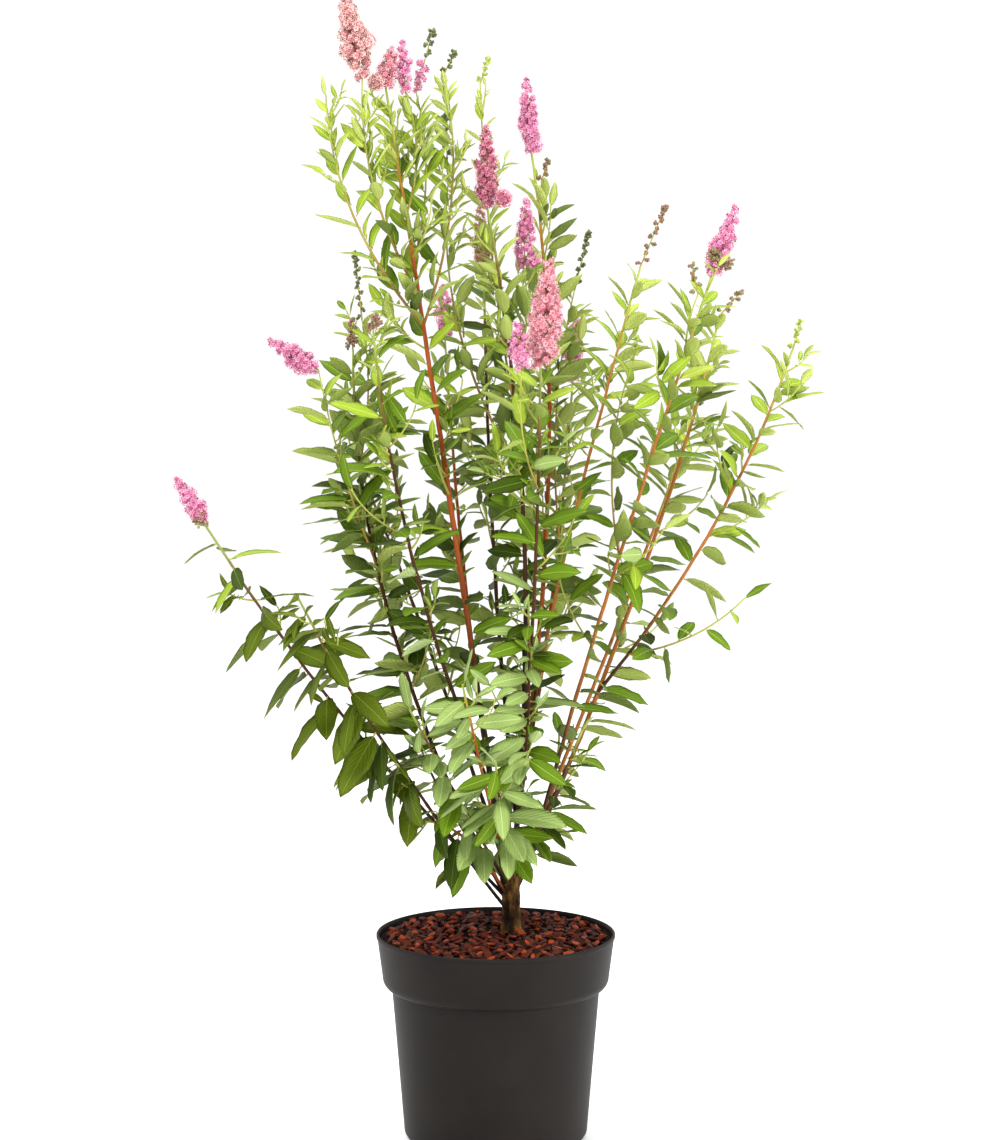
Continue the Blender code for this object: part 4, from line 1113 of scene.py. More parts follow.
@dataclass
class Room:
    """The blades, bones and boughs near one root."""

    rule: LeafRule
    blades: np.ndarray
    bones: tuple[np.ndarray, ...]
    limbs: tuple[np.ndarray, ...]

    def takes(self, points: np.ndarray, trial: Trial) -> bool:
        """Tells whether a leaf fits.

        Args:
            points: The leaf's test points.
            trial: How it looks for room.

        Returns:
            True if it fits.
        """
        blade = points[self.rule.test_width :]
        if len(self.blades):
            gaps = np.linalg.norm(blade[:, None] - self.blades, axis=2)
            if gaps.min() < trial.clearance:
                return False
        margin = self.rule.limb_margin if trial.strict else self.rule.later_limb_margin
        starts, ends, radii, own = self.bones
        reach = distances(points, starts, ends)
        if (reach[self.rule.test_width :] < radii + margin).any():
            return False
        if trial.strict and not own.all():
            nearest = reach[:, own].min(axis=1) + self.rule.space_margin
            if ((reach - radii)[:, ~own].min(axis=1) < nearest).any():
                return False
        starts, ends, radii, _ = self.limbs
        if len(radii) == 0:
            return True
        return not (distances(points, starts, ends) < radii + margin).any()


@dataclass(frozen=True)
class ToneRule:
    """How the colour of a leaf follows its spray's age, from 0 low on the shrub to 1 at its youngest tips."""

    height_part: float = 0.80
    tip_part: float = 0.22
    spread: float = 0.18
    lime_from: float = 0.86
    fresh_from: float = 0.52
    green_from: float = 0.16
    sage_share: float = 0.88
    olive_share: float = 0.80
    deep_share: float = 0.60
    front_y: float = -0.02
    front_sage_and_painted_sheen_share: float = 0.30

    def pick(self, limb: Limb, root: Vector, youth: float, tip_share: float, chance: Random) -> Tone:
        """Picks a leaf's colour.

        Args:
            limb: The limb it grows on.
            root: Where it grows.
            youth: How young the growth at that height is.
            tip_share: How far along its twig it grows.
            chance: Its own source of chance.

        Returns:
            The colour.
        """
        age = self.height_part * youth + self.tip_part * tip_share**2 + limb.fresh
        age += chance.gauss(0.0, self.spread)
        if age > self.lime_from:
            return Tone.LIME
        if age > self.fresh_from and limb.shade is not Tone.SAGE:
            return Tone.FRESH
        if limb.shade is Tone.SAGE:
            return Tone.SAGE if chance.random() < self.sage_share else Tone.GREEN
        if limb.shade is Tone.OLIVE:
            return Tone.OLIVE if chance.random() < self.olive_share else Tone.DEEP
        if age > self.green_from and limb.shade is Tone.GREEN:
            return Tone.GREEN
        # Some leaves in the front half of the crown take the pale sage colour, partly as pale leaves and partly
        # as painted sheen.
        if root.y < self.front_y and chance.random() < self.front_sage_and_painted_sheen_share:
            return Tone.SAGE
        return Tone.DEEP if chance.random() < self.deep_share else Tone.GREEN


@dataclass(frozen=True)
class SpurRule:
    """How short leafy spurs stand in some leaf axils."""

    lengths: Pair = (0.014, 0.034)
    angle: float = math.radians(38)
    share: float = 0.34
    girth: float = 0.0010
    leaf_size: float = 0.36
    leaves: tuple[int, int] = (3, 5)
    first_leaf: float = 0.45
    spread: float = math.radians(52)
    tip_spread: float = math.radians(25)
    hang: float = 0.5
    tip_share: float = 0.9


@dataclass
class Growth:
    """The whole plant above the pot, grown by the same rule and chances as its solids."""

    skeleton: Skeleton
    shoots: ShootRule = ShootRule()
    rule: LeafRule = LeafRule()
    spurs: SpurRule = SpurRule()
    tones: ToneRule = ToneRule()
    first_trial: Trial = Trial(LeafRule.clearance, True)
    later_trial: Trial = Trial(0.0020, False)
    spur_trial: Trial = Trial(0.0016, False, 4, (1.0,))
    masses: list[Mass] = field(default_factory=list)

    def grow(self) -> list[Mass]:
        """Grows twigs, then leaves in three passes: those of the solids, those between, and the spurs'."""
        self.masses = [Mass(limb, [self.stem(limb)]) for limb in LIMBS + LOW_SHOOTS]
        for mass in self.masses:
            self.add_listed_shoots(mass)
        for mass in self.masses:
            self.add_side_shoots(mass)
        space = Space(self.rule, self.masses, self.skeleton)
        for later in (False, True):
            for index in range(len(self.masses)):
                self.add_leaves(index, space, later)
        for index in range(len(self.masses)):
            self.add_spurs(index, space)
        return self.masses

    def stem(self, limb: Limb) -> Twig:
        """Returns the leafy part of a limb."""
        first = limb.leafy if limb.leafy else self.skeleton.starts[limb.name]
        if limb.leafy:
            first += self.skeleton.gap / (Vector(limb.tip) - self.skeleton.feet[limb.name]).length
        points = self.skeleton.line(limb.name, first, 1.0, self.shoots.stem_rings)
        return Twig(limb, points, [], limb.girth, limb.flower)

    def shoot(
        self, limb: Limb, root: Vector, out: Vector, tip: Vector, girth: float, flower: Flower | None
    ) -> Twig:
        """Returns a side shoot that leaves its stem outwards and turns up towards its tip.

        Args:
            limb: The limb it grows on.
            root: Where it leaves its stem.
            out: The direction in which it bows.
            tip: Where it ends.
            girth: Its radius at the root.
            flower: The flower spike on its tip.

        Returns:
            The shoot.
        """
        bend = 0.5 * (root + tip) + out * (self.shoots.bow * (tip - root).length)
        lines = [
            [curve_point(root, bend, tip, n / rings) for n in range(rings + 1)]
            for rings in (self.shoots.shoot_rings, self.shoots.drawn_rings)
        ]
        return Twig(limb, *lines, girth, flower, 1.0 if flower else 0.0)

    def add_listed_shoots(self, mass: Mass) -> None:
        """Adds the side shoots that are listed for this limb."""
        for shoot in SHOOTS:
            if shoot.limb == mass.limb.name:
                root = self.skeleton.point(shoot.limb, shoot.share)
                axis = self.skeleton.direction(shoot.limb, shoot.share)
                tip = Vector(shoot.tip)
                out = ((tip - root) - axis * (tip - root).dot(axis)).normalized()
                girth = self.shoots.tall_girth * self.skeleton.radius(shoot.limb, shoot.share)
                mass.twigs.append(self.shoot(mass.limb, root, out, tip, girth, shoot.flower))

    def add_side_shoots(self, mass: Mass) -> None:
        """Adds leafy side shoots, where they stay clear of boughs and other masses."""
        rule, limb, skeleton = self.shoots, mass.limb, self.skeleton
        if limb.sparse > 1.0:
            return
        length = mass.twigs[0].length
        others = [other.bones() for other in self.masses if other is not mass]
        others += [skeleton.bough(name) for name in skeleton.limbs if name != limb.name]
        starts, ends, _ = joined([*others, skeleton.placed["trunk"]])
        chance = Random(f"shoots of {limb.name}")
        turn = chance.uniform(0.0, FULL_TURN)
        for index in range(int(length / rule.pitch)):
            turn += GOLDEN_ANGLE
            share = (index + chance.uniform(*rule.steps)) * rule.pitch / length
            growth = rule.low_growth - rule.tip_loss * share
            size = rule.length * growth * chance.uniform(*rule.sizes)
            if not rule.first < share < rule.last:
                continue
            where = limb.leafy + (1.0 - limb.leafy) * share
            root = skeleton.point(limb.name, where)
            axis = skeleton.direction(limb.name, where)
            out = sideways(axis, turn)
            heading = axis * math.cos(rule.angle) + out * math.sin(rule.angle)
            heading.z += rule.rise
            girth = rule.girth * skeleton.radius(limb.name, where)
            twig = self.shoot(limb, root, out, root + heading * size, girth, None)
            if distances(twig.points[1:], starts, ends).min() > rule.clearance:
                mass.twigs.append(twig)

    def stations(self, twig: Twig) -> list[float]:
        """Returns the distances of a twig's leaves from its foot, closer together high on the shrub."""
        rule, limb = self.rule, twig.limb
        last = twig.length - rule.last_step * rule.pitch_low
        travel = (rule.first_step if limb.leafy else rule.low_first_step) * rule.pitch_low
        found = []
        while travel < last:
            found.append(travel)
            youth = rule.youth(twig.at(travel)[0].z)
            travel += limb.sparse * (rule.pitch_low + (rule.pitch_top - rule.pitch_low) * youth)
        return found

    def orders(self, twig: Twig, count: int, later: bool) -> list[float]:
        """Returns the numbers of one pass's leaves: the solids' own, or those between and at half steps."""
        kept = list(range(0, count, 2 if twig.limb.leafy else 1))
        if twig.flower is None:
            kept.append(count)
        if not later:
            return kept
        return [order for order in range(count) if order not in kept] + [n + 0.5 for n in range(count - 1)]

    def add_leaves(self, index: int, space: Space, later: bool) -> None:
        """Sets leaves in a spiral on every twig of a mass, and skips those that find no room.

        Args:
            index: The mass's number.
            space: What keeps them apart.
            later: False for the leaves of the solids, True for those between them.
        """
        rule, mass = self.rule, self.masses[index]
        limb, trial = mass.limb, self.later_trial if later else self.first_trial
        for number, twig in enumerate(mass.twigs):
            phase = Random(f"{limb.name} {number}").uniform(0.0, FULL_TURN)
            stations = self.stations(twig)
            count = len(stations)
            for order in self.orders(twig, count, later):
                chance = Random(f"{limb.name} {number} {order}")
                travel = twig.length - rule.tip_sink
                if order != count:
                    travel = np.interp(order, range(count), stations)
                share = travel / twig.length
                root, axis = twig.at(travel)
                youth = rule.youth(root.z)
                if order % 1 and youth < limb.full:
                    continue
                size = limb.vigour * rule.size(root.z, share, chance)
                size *= rule.on_shoot if number > 0 else 1.0
                size *= rule.later_size if later and youth < limb.full else 1.0
                spread = rule.spread_low + (rule.spread_top - rule.spread_low) * youth
                spread = rule.spread_tip if order == count else spread
                seat = Seat(root, axis, phase + order * GOLDEN_ANGLE, spread)
                room = space.around(root, index, size)
                fitted = self.fit(seat, size, limb.hang, trial, room, chance)
                if fitted:
                    tone_chance = Random(f"{order} {limb.name} {number}")
                    tone = self.tones.pick(limb, root, youth, share, tone_chance)
                    mass.leaves.append(Leaf(root, *fitted[:3], tone, youth))
                    space.keep(root, fitted[3])
                    twig.leafed = max(twig.leafed, share)

    def fit(
        self, seat: Seat, size: float, hang: float, trial: Trial, room: Room, chance: Random
    ) -> tuple[Vector, Vector, float, np.ndarray] | None:
        """Turns a leaf round its twig, then makes it smaller, until it finds room.

        Args:
            seat: Where it leaves the twig, and its first angles there.
            size: Its full length.
            hang: How far it turns down.
            trial: What it tries.
            room: What lies near.
            chance: Its own source of chance.

        Returns:
            Its direction, its face's direction, its length and its test points, or None.
        """
        rule = self.rule
        for attempt in range(trial.turns * len(trial.shrinks)):
            length = size * trial.shrinks[attempt // trial.turns]
            along, normal = rule.axes(seat, seat.turn + attempt * rule.turn, hang, chance)
            points = rule.test_points(seat.root, along, normal, length)
            if room.takes(points, trial):
                return along, normal, length, points[rule.test_width :]
        return None

    def add_spurs(self, index: int, space: Space) -> None:
        """Adds short leafy spurs inside the reach of the leaves. Orange stems have none low down."""
        rule, spurs, mass = self.rule, self.spurs, self.masses[index]
        limb = mass.limb
        for number, twig in enumerate(mass.twigs):
            for order, travel in enumerate(self.stations(twig)[:-1]):
                chance = Random(f"spur {limb.name} {number} {order}")
                if chance.random() > spurs.share:
                    continue
                root, axis = twig.at(travel + 0.5 * rule.pitch_low)
                if limb.bark is Bark.ORANGE and rule.youth(root.z) < limb.full:
                    continue
                out = sideways(axis, chance.uniform(0.0, FULL_TURN))
                heading = axis * math.cos(spurs.angle) + out * math.sin(spurs.angle)
                tip = root + heading * chance.uniform(*spurs.lengths) * limb.vigour
                spur = self.shoot(limb, root, out, tip, spurs.girth, None)
                spur.leafed = 1.0
                if self.leaf_spur(spur, index, space, chance):
                    mass.spurs.append(spur)

    def leaf_spur(self, spur: Twig, index: int, space: Space, chance: Random) -> bool:
        """Sets a few small leaves on a spur, where more than one finds room.

        Args:
            spur: The spur.
            index: The number of its mass.
            space: What keeps them apart.
            chance: Its own source of chance.

        Returns:
            True if it has leaves.
        """
        rule, spurs, limb, found = self.rule, self.spurs, spur.limb, []
        foot, tip = spur.points[0], spur.points[-1]
        count = chance.randint(*spurs.leaves)
        turn = chance.uniform(0.0, FULL_TURN)
        for step in range(count):
            root = foot.lerp(tip, spurs.first_leaf + (1.0 - spurs.first_leaf) * step / (count - 1))
            size = spurs.leaf_size * rule.size(root.z, 0.0, chance) * limb.vigour
            spread = spurs.tip_spread if step == count - 1 else spurs.spread
            seat = Seat(root, (tip - foot).normalized(), turn + step * GOLDEN_ANGLE, spread)
            room = space.around(root, index, size)
            fitted = self.fit(seat, size, spurs.hang * limb.hang, self.spur_trial, room, chance)
            if fitted:
                tone = self.tones.pick(limb, root, rule.youth(root.z), spurs.tip_share, chance)
                found.append((Leaf(root, *fitted[:3], tone, 1.0), fitted[3]))
        if len(found) < 2:
            return False
        for leaf, blade in found:
            self.masses[index].leaves.append(leaf)
            space.keep(leaf.root, blade)
        return True


@dataclass
class Foliage:
    """All leaves as closed thin blades with a midrib, joined by colour."""

    masses: list[Mass]
    rows: tuple[float, ...] = (0.07, 0.19, 0.33, 0.47, 0.61, 0.75, 0.89)
    mid_column: float = 0.55
    rib_width: float = 0.0008
    thickness: float = 0.00035
    stalk_share: float = 0.07
    drawn: Pair = (0.92, 0.10)
    breadth_low: float = 0.375
    breadth_top: float = 0.290
    breadth_range: float = 0.04
    root_taper: Pair = (0.62, 0.14)
    tip_taper: Pair = (0.80, 0.22)
    tooth: float = 0.040
    smooth_share: float = 0.3
    bend: Pair = (17.0, 12.0)
    fold: Pair = (9.0, 6.0)
    fold_growth: float = 12.0
    least_fold: float = 4.0
    cup: float = 0.16
    wave: Pair = (0.004, 0.020)
    wave_loss: float = 0.5
    waves: Pair = (1.1, 2.3)
    wave_lag: float = 1.4
    twist: float = 11.0
    flat_share: float = 0.3
    rib_taper: float = 0.6
    rib_share: float = 0.32
    rib_relief: float = 0.7
    first_seed: int = 100

    def template(self) -> tuple[list, list, list[int]]:
        """Returns one leaf's quads, triangles and the finish of each face: 0 above, 1 below, 2 midrib."""
        last = len(self.rows) - 1
        upper = [[1 + 10 * row + column for column in range(6)] for row in range(last + 1)]
        lower = [
            [upper[row][0], *(7 + 10 * row + column for column in range(4)), upper[row][5]]
            for row in range(last + 1)
        ]
        tip = 1 + 10 * (last + 1)
        quads, triangles, quad_kinds, triangle_kinds = [], [], [], []
        for column in range(5):
            kinds = (2, 2) if column == 2 else (0, 1)
            for row in range(last):
                u, v = upper[row], upper[row + 1]
                quads.append((u[column], v[column], v[column + 1], u[column + 1]))
                u, v = lower[row], lower[row + 1]
                quads.append((u[column], u[column + 1], v[column + 1], v[column]))
                quad_kinds += kinds
            triangles.append((0, upper[0][column], upper[0][column + 1]))
            triangles.append((0, lower[0][column + 1], lower[0][column]))
            triangles.append((upper[last][column], tip, upper[last][column + 1]))
            triangles.append((lower[last][column], lower[last][column + 1], tip))
            triangle_kinds += [*kinds, *kinds]
        return quads, triangles, quad_kinds + triangle_kinds

    def shape(self, leaves: list[Leaf], chance: np.random.Generator) -> tuple[np.ndarray, np.ndarray]:
        """Works out the points of many leaves at once.

        Args:
            leaves: The leaves.
            chance: A seeded source of chance.

        Returns:
            Points as leaf by point by axis, and the place of each point on its blade, for the veins.
        """
        count = len(leaves)
        youth = np.array([leaf.youth for leaf in leaves])
        length = (self.drawn[0] + self.drawn[1] * youth) * np.array([leaf.length for leaf in leaves])
        blade = length * (1.0 - self.stalk_share)
        breadth = self.breadth_low + (self.breadth_top - self.breadth_low) * youth
        half = 0.5 * blade * (breadth + self.breadth_range * chance.uniform(-1.0, 1.0, count))
        bend = np.radians(chance.normal(*self.bend, count))
        folded = chance.normal(*self.fold, count) + self.fold_growth * youth
        fold = np.radians(np.maximum(folded, self.least_fold))
        wave = length * chance.uniform(*self.wave, count) * (1.0 - self.wave_loss * youth)
        waves = chance.uniform(*self.waves, count)
        phase = chance.uniform(0.0, FULL_TURN, count)
        twist = np.radians(chance.normal(0.0, self.twist, count))
        share = np.array([0.0, *np.repeat(self.rows, 10), 1.0])
        mid, rows = self.mid_column, len(self.rows)
        column = np.array([0.0, *([-1, -mid, -2, 2, mid, 1, -mid, -2, 2, mid] * rows), 0.0])
        below = np.array([0, *([0, 0, 0, 0, 0, 0, 1, 1, 1, 1] * rows), 0])
        rooted = (self.root_taper[0] + self.root_taper[1] * youth)[:, None]
        tipped = (self.tip_taper[0] + self.tip_taper[1] * youth)[:, None]
        peak = rooted / (rooted + tipped)
        power = share**rooted * (1.0 - share) ** tipped / (peak**rooted * (1.0 - peak) ** tipped)
        odd = np.array([0, *np.repeat(range(rows), 10), 0]) % 2 == 1
        power *= 1.0 + self.tooth * np.where(odd, 1.0, -1.0) * (share > self.smooth_share)
        width = half[:, None] * power
        rib = 0.5 * self.rib_width * (1.0 - self.rib_taper * share)[None, :]
        rib = np.minimum(rib, self.rib_share * width)
        on_rib = np.abs(column) == 2
        side = np.where(on_rib[None, :], np.sign(column)[None, :] * rib, column[None, :] * width)
        part = np.abs(side) / np.maximum(width, 1e-9)
        part[:, [0, -1]] = 0.0
        lift = np.abs(side) * np.tan(fold)[:, None] - self.cup * width * part * (1.0 - part)
        ripple = np.sin(FULL_TURN * waves[:, None] * share + phase[:, None] + self.wave_lag * np.sign(column))
        lift += wave[:, None] * part**2 * ripple
        lift -= below * self.thickness * (1.0 + self.rib_relief * on_rib)
        angle = bend[:, None] * (0.5 - share)[None, :]
        start = blade / bend
        ahead = start[:, None] * (np.sin(0.5 * bend)[:, None] - np.sin(angle))
        rise = start[:, None] * (np.cos(angle) - np.cos(0.5 * bend)[:, None])
        roll = twist[:, None] * (share - self.flat_share)[None, :]
        across = side * np.cos(roll) - lift * np.sin(roll)
        lift = side * np.sin(roll) + lift * np.cos(roll)
        ahead = ahead - lift * np.sin(angle)
        rise = rise + lift * np.cos(angle)
        along = np.array([leaf.along for leaf in leaves])
        normal = np.array([leaf.normal for leaf in leaves])
        right = np.cross(normal, along)
        root = np.array([leaf.root for leaf in leaves]) + along * (length * self.stalk_share)[:, None]
        points = root[:, None] + ahead[..., None] * along[:, None] + across[..., None] * right[:, None]
        points += rise[..., None] * normal[:, None]
        place = np.stack([np.tile(share, (count, 1)), 0.5 + side / blade[:, None]], axis=2)
        return points, place

    def build(self) -> list[Object]:
        """Makes one joined mesh for each colour of leaf and dresses it."""
        quads, triangles, kinds = self.template()
        pieces = []
        for number, tone in enumerate(Tone):
            leaves = [leaf for mass in self.masses for leaf in mass.leaves if leaf.tone is tone]
            nodes = [
                f"foliage_{mass.limb.name}"
                for mass in self.masses
                if any(leaf.tone is tone for leaf in mass.leaves)
            ]
            points, place = self.shape(leaves, np.random.default_rng(self.first_seed + number))
            size = points.shape[1]
            shift = (size * np.arange(len(leaves)))[:, None, None]
            faces = (np.array(quads)[None] + shift).reshape(-1, 4).tolist()
            faces += (np.array(triangles)[None] + shift).reshape(-1, 3).tolist()
            mesh = bpy.data.meshes.new(f"leaves_{tone.value}")
            mesh.from_pydata(points.reshape(-1, 3).tolist(), [], faces)
            split = len(quads)
            slots = np.concatenate([np.tile(kinds[:split], len(leaves)), np.tile(kinds[split:], len(leaves))])
            mesh.polygons.foreach_set("material_index", slots.astype(np.int32))
            corners = np.zeros(len(mesh.loops), np.int32)
            mesh.loops.foreach_get("vertex_index", corners)
            layer = mesh.uv_layers.new(name="blade")
            layer.data.foreach_set("uv", place.reshape(-1, 2)[corners].astype(np.float32).ravel())
            mesh.shade_smooth()
            upper, under, rib = LEAF_COLOURS[tone]
            for finish in (
                LeafFinish(f"{tone.value}_leaf_face", upper, roughness=0.48, vein_strength=0.35),
                LeafFinish(f"{tone.value}_leaf_underside", under, roughness=0.70, vein_strength=0.55),
                PetalFinish(f"{tone.value}_leaf_midrib", rib, roughness=0.55),
            ):
                mesh.materials.append(finish.make())
            pieces.append(stand_for(link(mesh.name, mesh), "foliage", *nodes))
        return pieces


@dataclass(frozen=True)
class TubeRule:
    """How a group of stems is drawn: its sides, how far it wanders, and its relief."""

    sides: int
    wander: float
    relief: float
    relief_scale: float


@dataclass
class Wood:
    """The trunk, the limbs from foot to tip, and the green shoots, spurs and leaf stalks."""

    skeleton: Skeleton
    masses: list[Mass]
    trunk_tube: TubeRule = TubeRule(28, 0.002, 0.42, 190.0)
    limb_tube: TubeRule = TubeRule(10, 0.0020, 0.22, 260.0)
    shoot_tube: TubeRule = TubeRule(6, 0.0, 0.10, 400.0)
    trunk_rings: int = 60
    trunk_cap: Pair = (0.0025, 0.72)
    limb_rings: int = 110
    limb_root: float = 0.006
    youth_lengths: tuple[tuple[Bark, float], ...] = ((Bark.RED, 0.60), (Bark.ORANGE, 0.50), (Bark.DARK, 0.42))
    most_youth: float = 0.9
    node_pitch: float = 0.0135
    node_spread: float = 0.01
    node_swelling: float = 0.13
    node_first: float = 0.12
    fork_swelling: float = 0.30
    fork_length: float = 0.012
    thinnest: float = 0.0008
    shoot_tip: float = 0.0007
    shoot_ages: tuple[float, float, float] = (0.1, 0.9, 0.45)
    flower_rings: int = 6
    flower_girth: float = 0.0009
    flower_taper: float = 0.00008
    flower_age: float = 0.2
    stalk_radius: float = 0.0006
    stalk_growth: Pair = (0.6, 8.0)
    stalk_taper: Point = (1.25, 1.0, 0.4)
    stalk_reach: float = 0.16
    stalk_sag: float = 0.0002
    stalk_age: float = 0.15

    def limb_line(self, limb: Limb) -> tuple[list[Vector], list[float], list[float]]:
        """Returns a limb's points, radii and ages, with a swelling at its foot and at each leaf."""
        shares = np.linspace(0.0, 1.0, self.limb_rings + 1)
        points = [self.skeleton.point(limb.name, share) for share in shares]
        if limb.parent == "trunk" and limb.fork == 1.0:
            points = [points[0] - self.limb_root * UP, *points]
            shares = np.array([0.0, *shares])
        travel = np.concatenate([[0.0], np.cumsum([(b - a).length for a, b in zip(points, points[1:])])])
        radii = []
        for share, way in zip(shares, travel):
            swelling = self.fork_swelling * math.exp(-way / self.fork_length)
            beat = (way / self.node_pitch) % 1.0 - 0.5
            node = math.exp(-(beat**2) / self.node_spread)
            swelling += self.node_swelling * node * (share > self.node_first)
            radii.append(max(self.skeleton.radius(limb.name, share), self.thinnest) * (1.0 + swelling))
        youth_length = min(dict(self.youth_lengths)[limb.bark], self.most_youth * travel[-1])
        return points, radii, np.clip((travel[-1] - travel) / youth_length, 0.0, 1.0).tolist()

    def lines(self, name: str, strands: list[tuple], rule: TubeRule, finish: Finish, tree: Tree) -> Object:
        """Makes stems along several lines as one piece.

        Args:
            name: The piece's name.
            strands: Points, radii and ages of each line.
            rule: How the stems are drawn.
            finish: Their finish.
            tree: The tree that grows stems.

        Returns:
            The piece.
        """
        points, radii, ages, edges = [], [], [], []
        for line, girths, years in strands:
            edges += [(len(points) + n, len(points) + n + 1) for n in range(len(line) - 1)]
            points += line
            radii += girths
            ages += years
        piece = points_object(name, points, edges, {"girth": radii, "age": ages})
        sizes = (rule.sides, rule.wander, rule.relief, rule.relief_scale)
        return run_group(piece, tree, dict(zip(("Sides", "Wander", "Relief", "Relief Scale"), sizes)), finish)

    def build_trunk(self, tree: Tree) -> Object:
        """Makes the trunk with ridged, flaking bark."""
        shares = np.linspace(0.0, 1.0, self.trunk_rings + 1)
        line = [self.skeleton.trunk.point(share) for share in shares]
        radii = [self.skeleton.trunk.radius(share) for share in shares]
        rise, narrowing = self.trunk_cap
        strand = ([*line, line[-1] + rise * UP], [*radii, narrowing * radii[-1]], [1.0] * (len(line) + 1))
        piece = self.lines("trunk_bark", [strand], self.trunk_tube, TrunkFinish(), tree)
        return stand_for(piece, "trunk_bark", "trunk")

    def build_limbs(self, tree: Tree) -> list[Object]:
        """Makes the limbs, joined by the colour of their bark."""
        pieces = []
        for bark, finish in STEM_COLOURS.items():
            limbs = [limb for limb in LIMBS + LOW_SHOOTS if limb.bark is bark]
            strands = [self.limb_line(limb) for limb in limbs]
            piece = self.lines(f"stems_{bark.value}", strands, self.limb_tube, finish, tree)
            boughs = [f"bough_{limb.name}" for limb in limbs if limb.leafy]
            masses = [f"foliage_{limb.name}" for limb in limbs]
            pieces.append(stand_for(piece, "bough_bark", *boughs, *masses))
        return pieces

    def shoot_lines(self, mass: Mass) -> list[tuple]:
        """Returns the lines of a mass's side shoots and spurs, as far as their leaves reach."""
        strands = []
        first_age, growth, oldest = self.shoot_ages
        for twig in mass.twigs[1:] + mass.spurs:
            path = twig.path[: math.ceil(twig.leafed * (len(twig.path) - 1)) + 1]
            last = len(path) - 1
            if last < 1:
                continue
            tip = self.shoot_tip
            radii = [max(twig.girth + (tip - twig.girth) * n / last, tip) for n in range(last + 1)]
            whole = growth * (path[-1] - path[0]).length
            ages = [min(oldest, first_age + whole * (1.0 - n / last)) for n in range(last + 1)]
            strands.append((path, radii, ages))
        return strands

    def flower_lines(self, mass: Mass) -> list[tuple]:
        """Returns the lines of the stalks inside a mass's flower spikes."""
        rings = self.flower_rings
        radii = [self.flower_girth - self.flower_taper * n for n in range(rings)]
        return [
            (
                [twig.points[-1].lerp(Vector(twig.flower.top), n / rings) for n in range(rings)],
                radii,
                [self.flower_age] * rings,
            )
            for twig in mass.twigs
            if twig.flower
        ]

    def stalk_line(self, leaf: Leaf) -> tuple:
        """Returns the line of a leaf's stalk, which runs on under its midrib."""
        reach = leaf.along * (self.stalk_reach * leaf.length)
        line = [leaf.root, leaf.root + 0.5 * reach - leaf.normal * self.stalk_sag, leaf.root + reach]
        least, growth = self.stalk_growth
        girth = self.stalk_radius * (least + growth * leaf.length)
        return line, [part * girth for part in self.stalk_taper], [self.stalk_age] * 3

    def build_shoots(self, tree: Tree) -> Object:
        """Makes the green side shoots, spurs, flower stalks and leaf stalks as one piece."""
        strands = []
        for mass in self.masses:
            strands += self.shoot_lines(mass) + self.flower_lines(mass)
            strands += [self.stalk_line(leaf) for leaf in mass.leaves]
        piece = self.lines("green_shoots", strands, self.shoot_tube, SHOOT_SKIN, tree)
        return stand_for(piece, "foliage", *(f"foliage_{mass.limb.name}" for mass in self.masses))


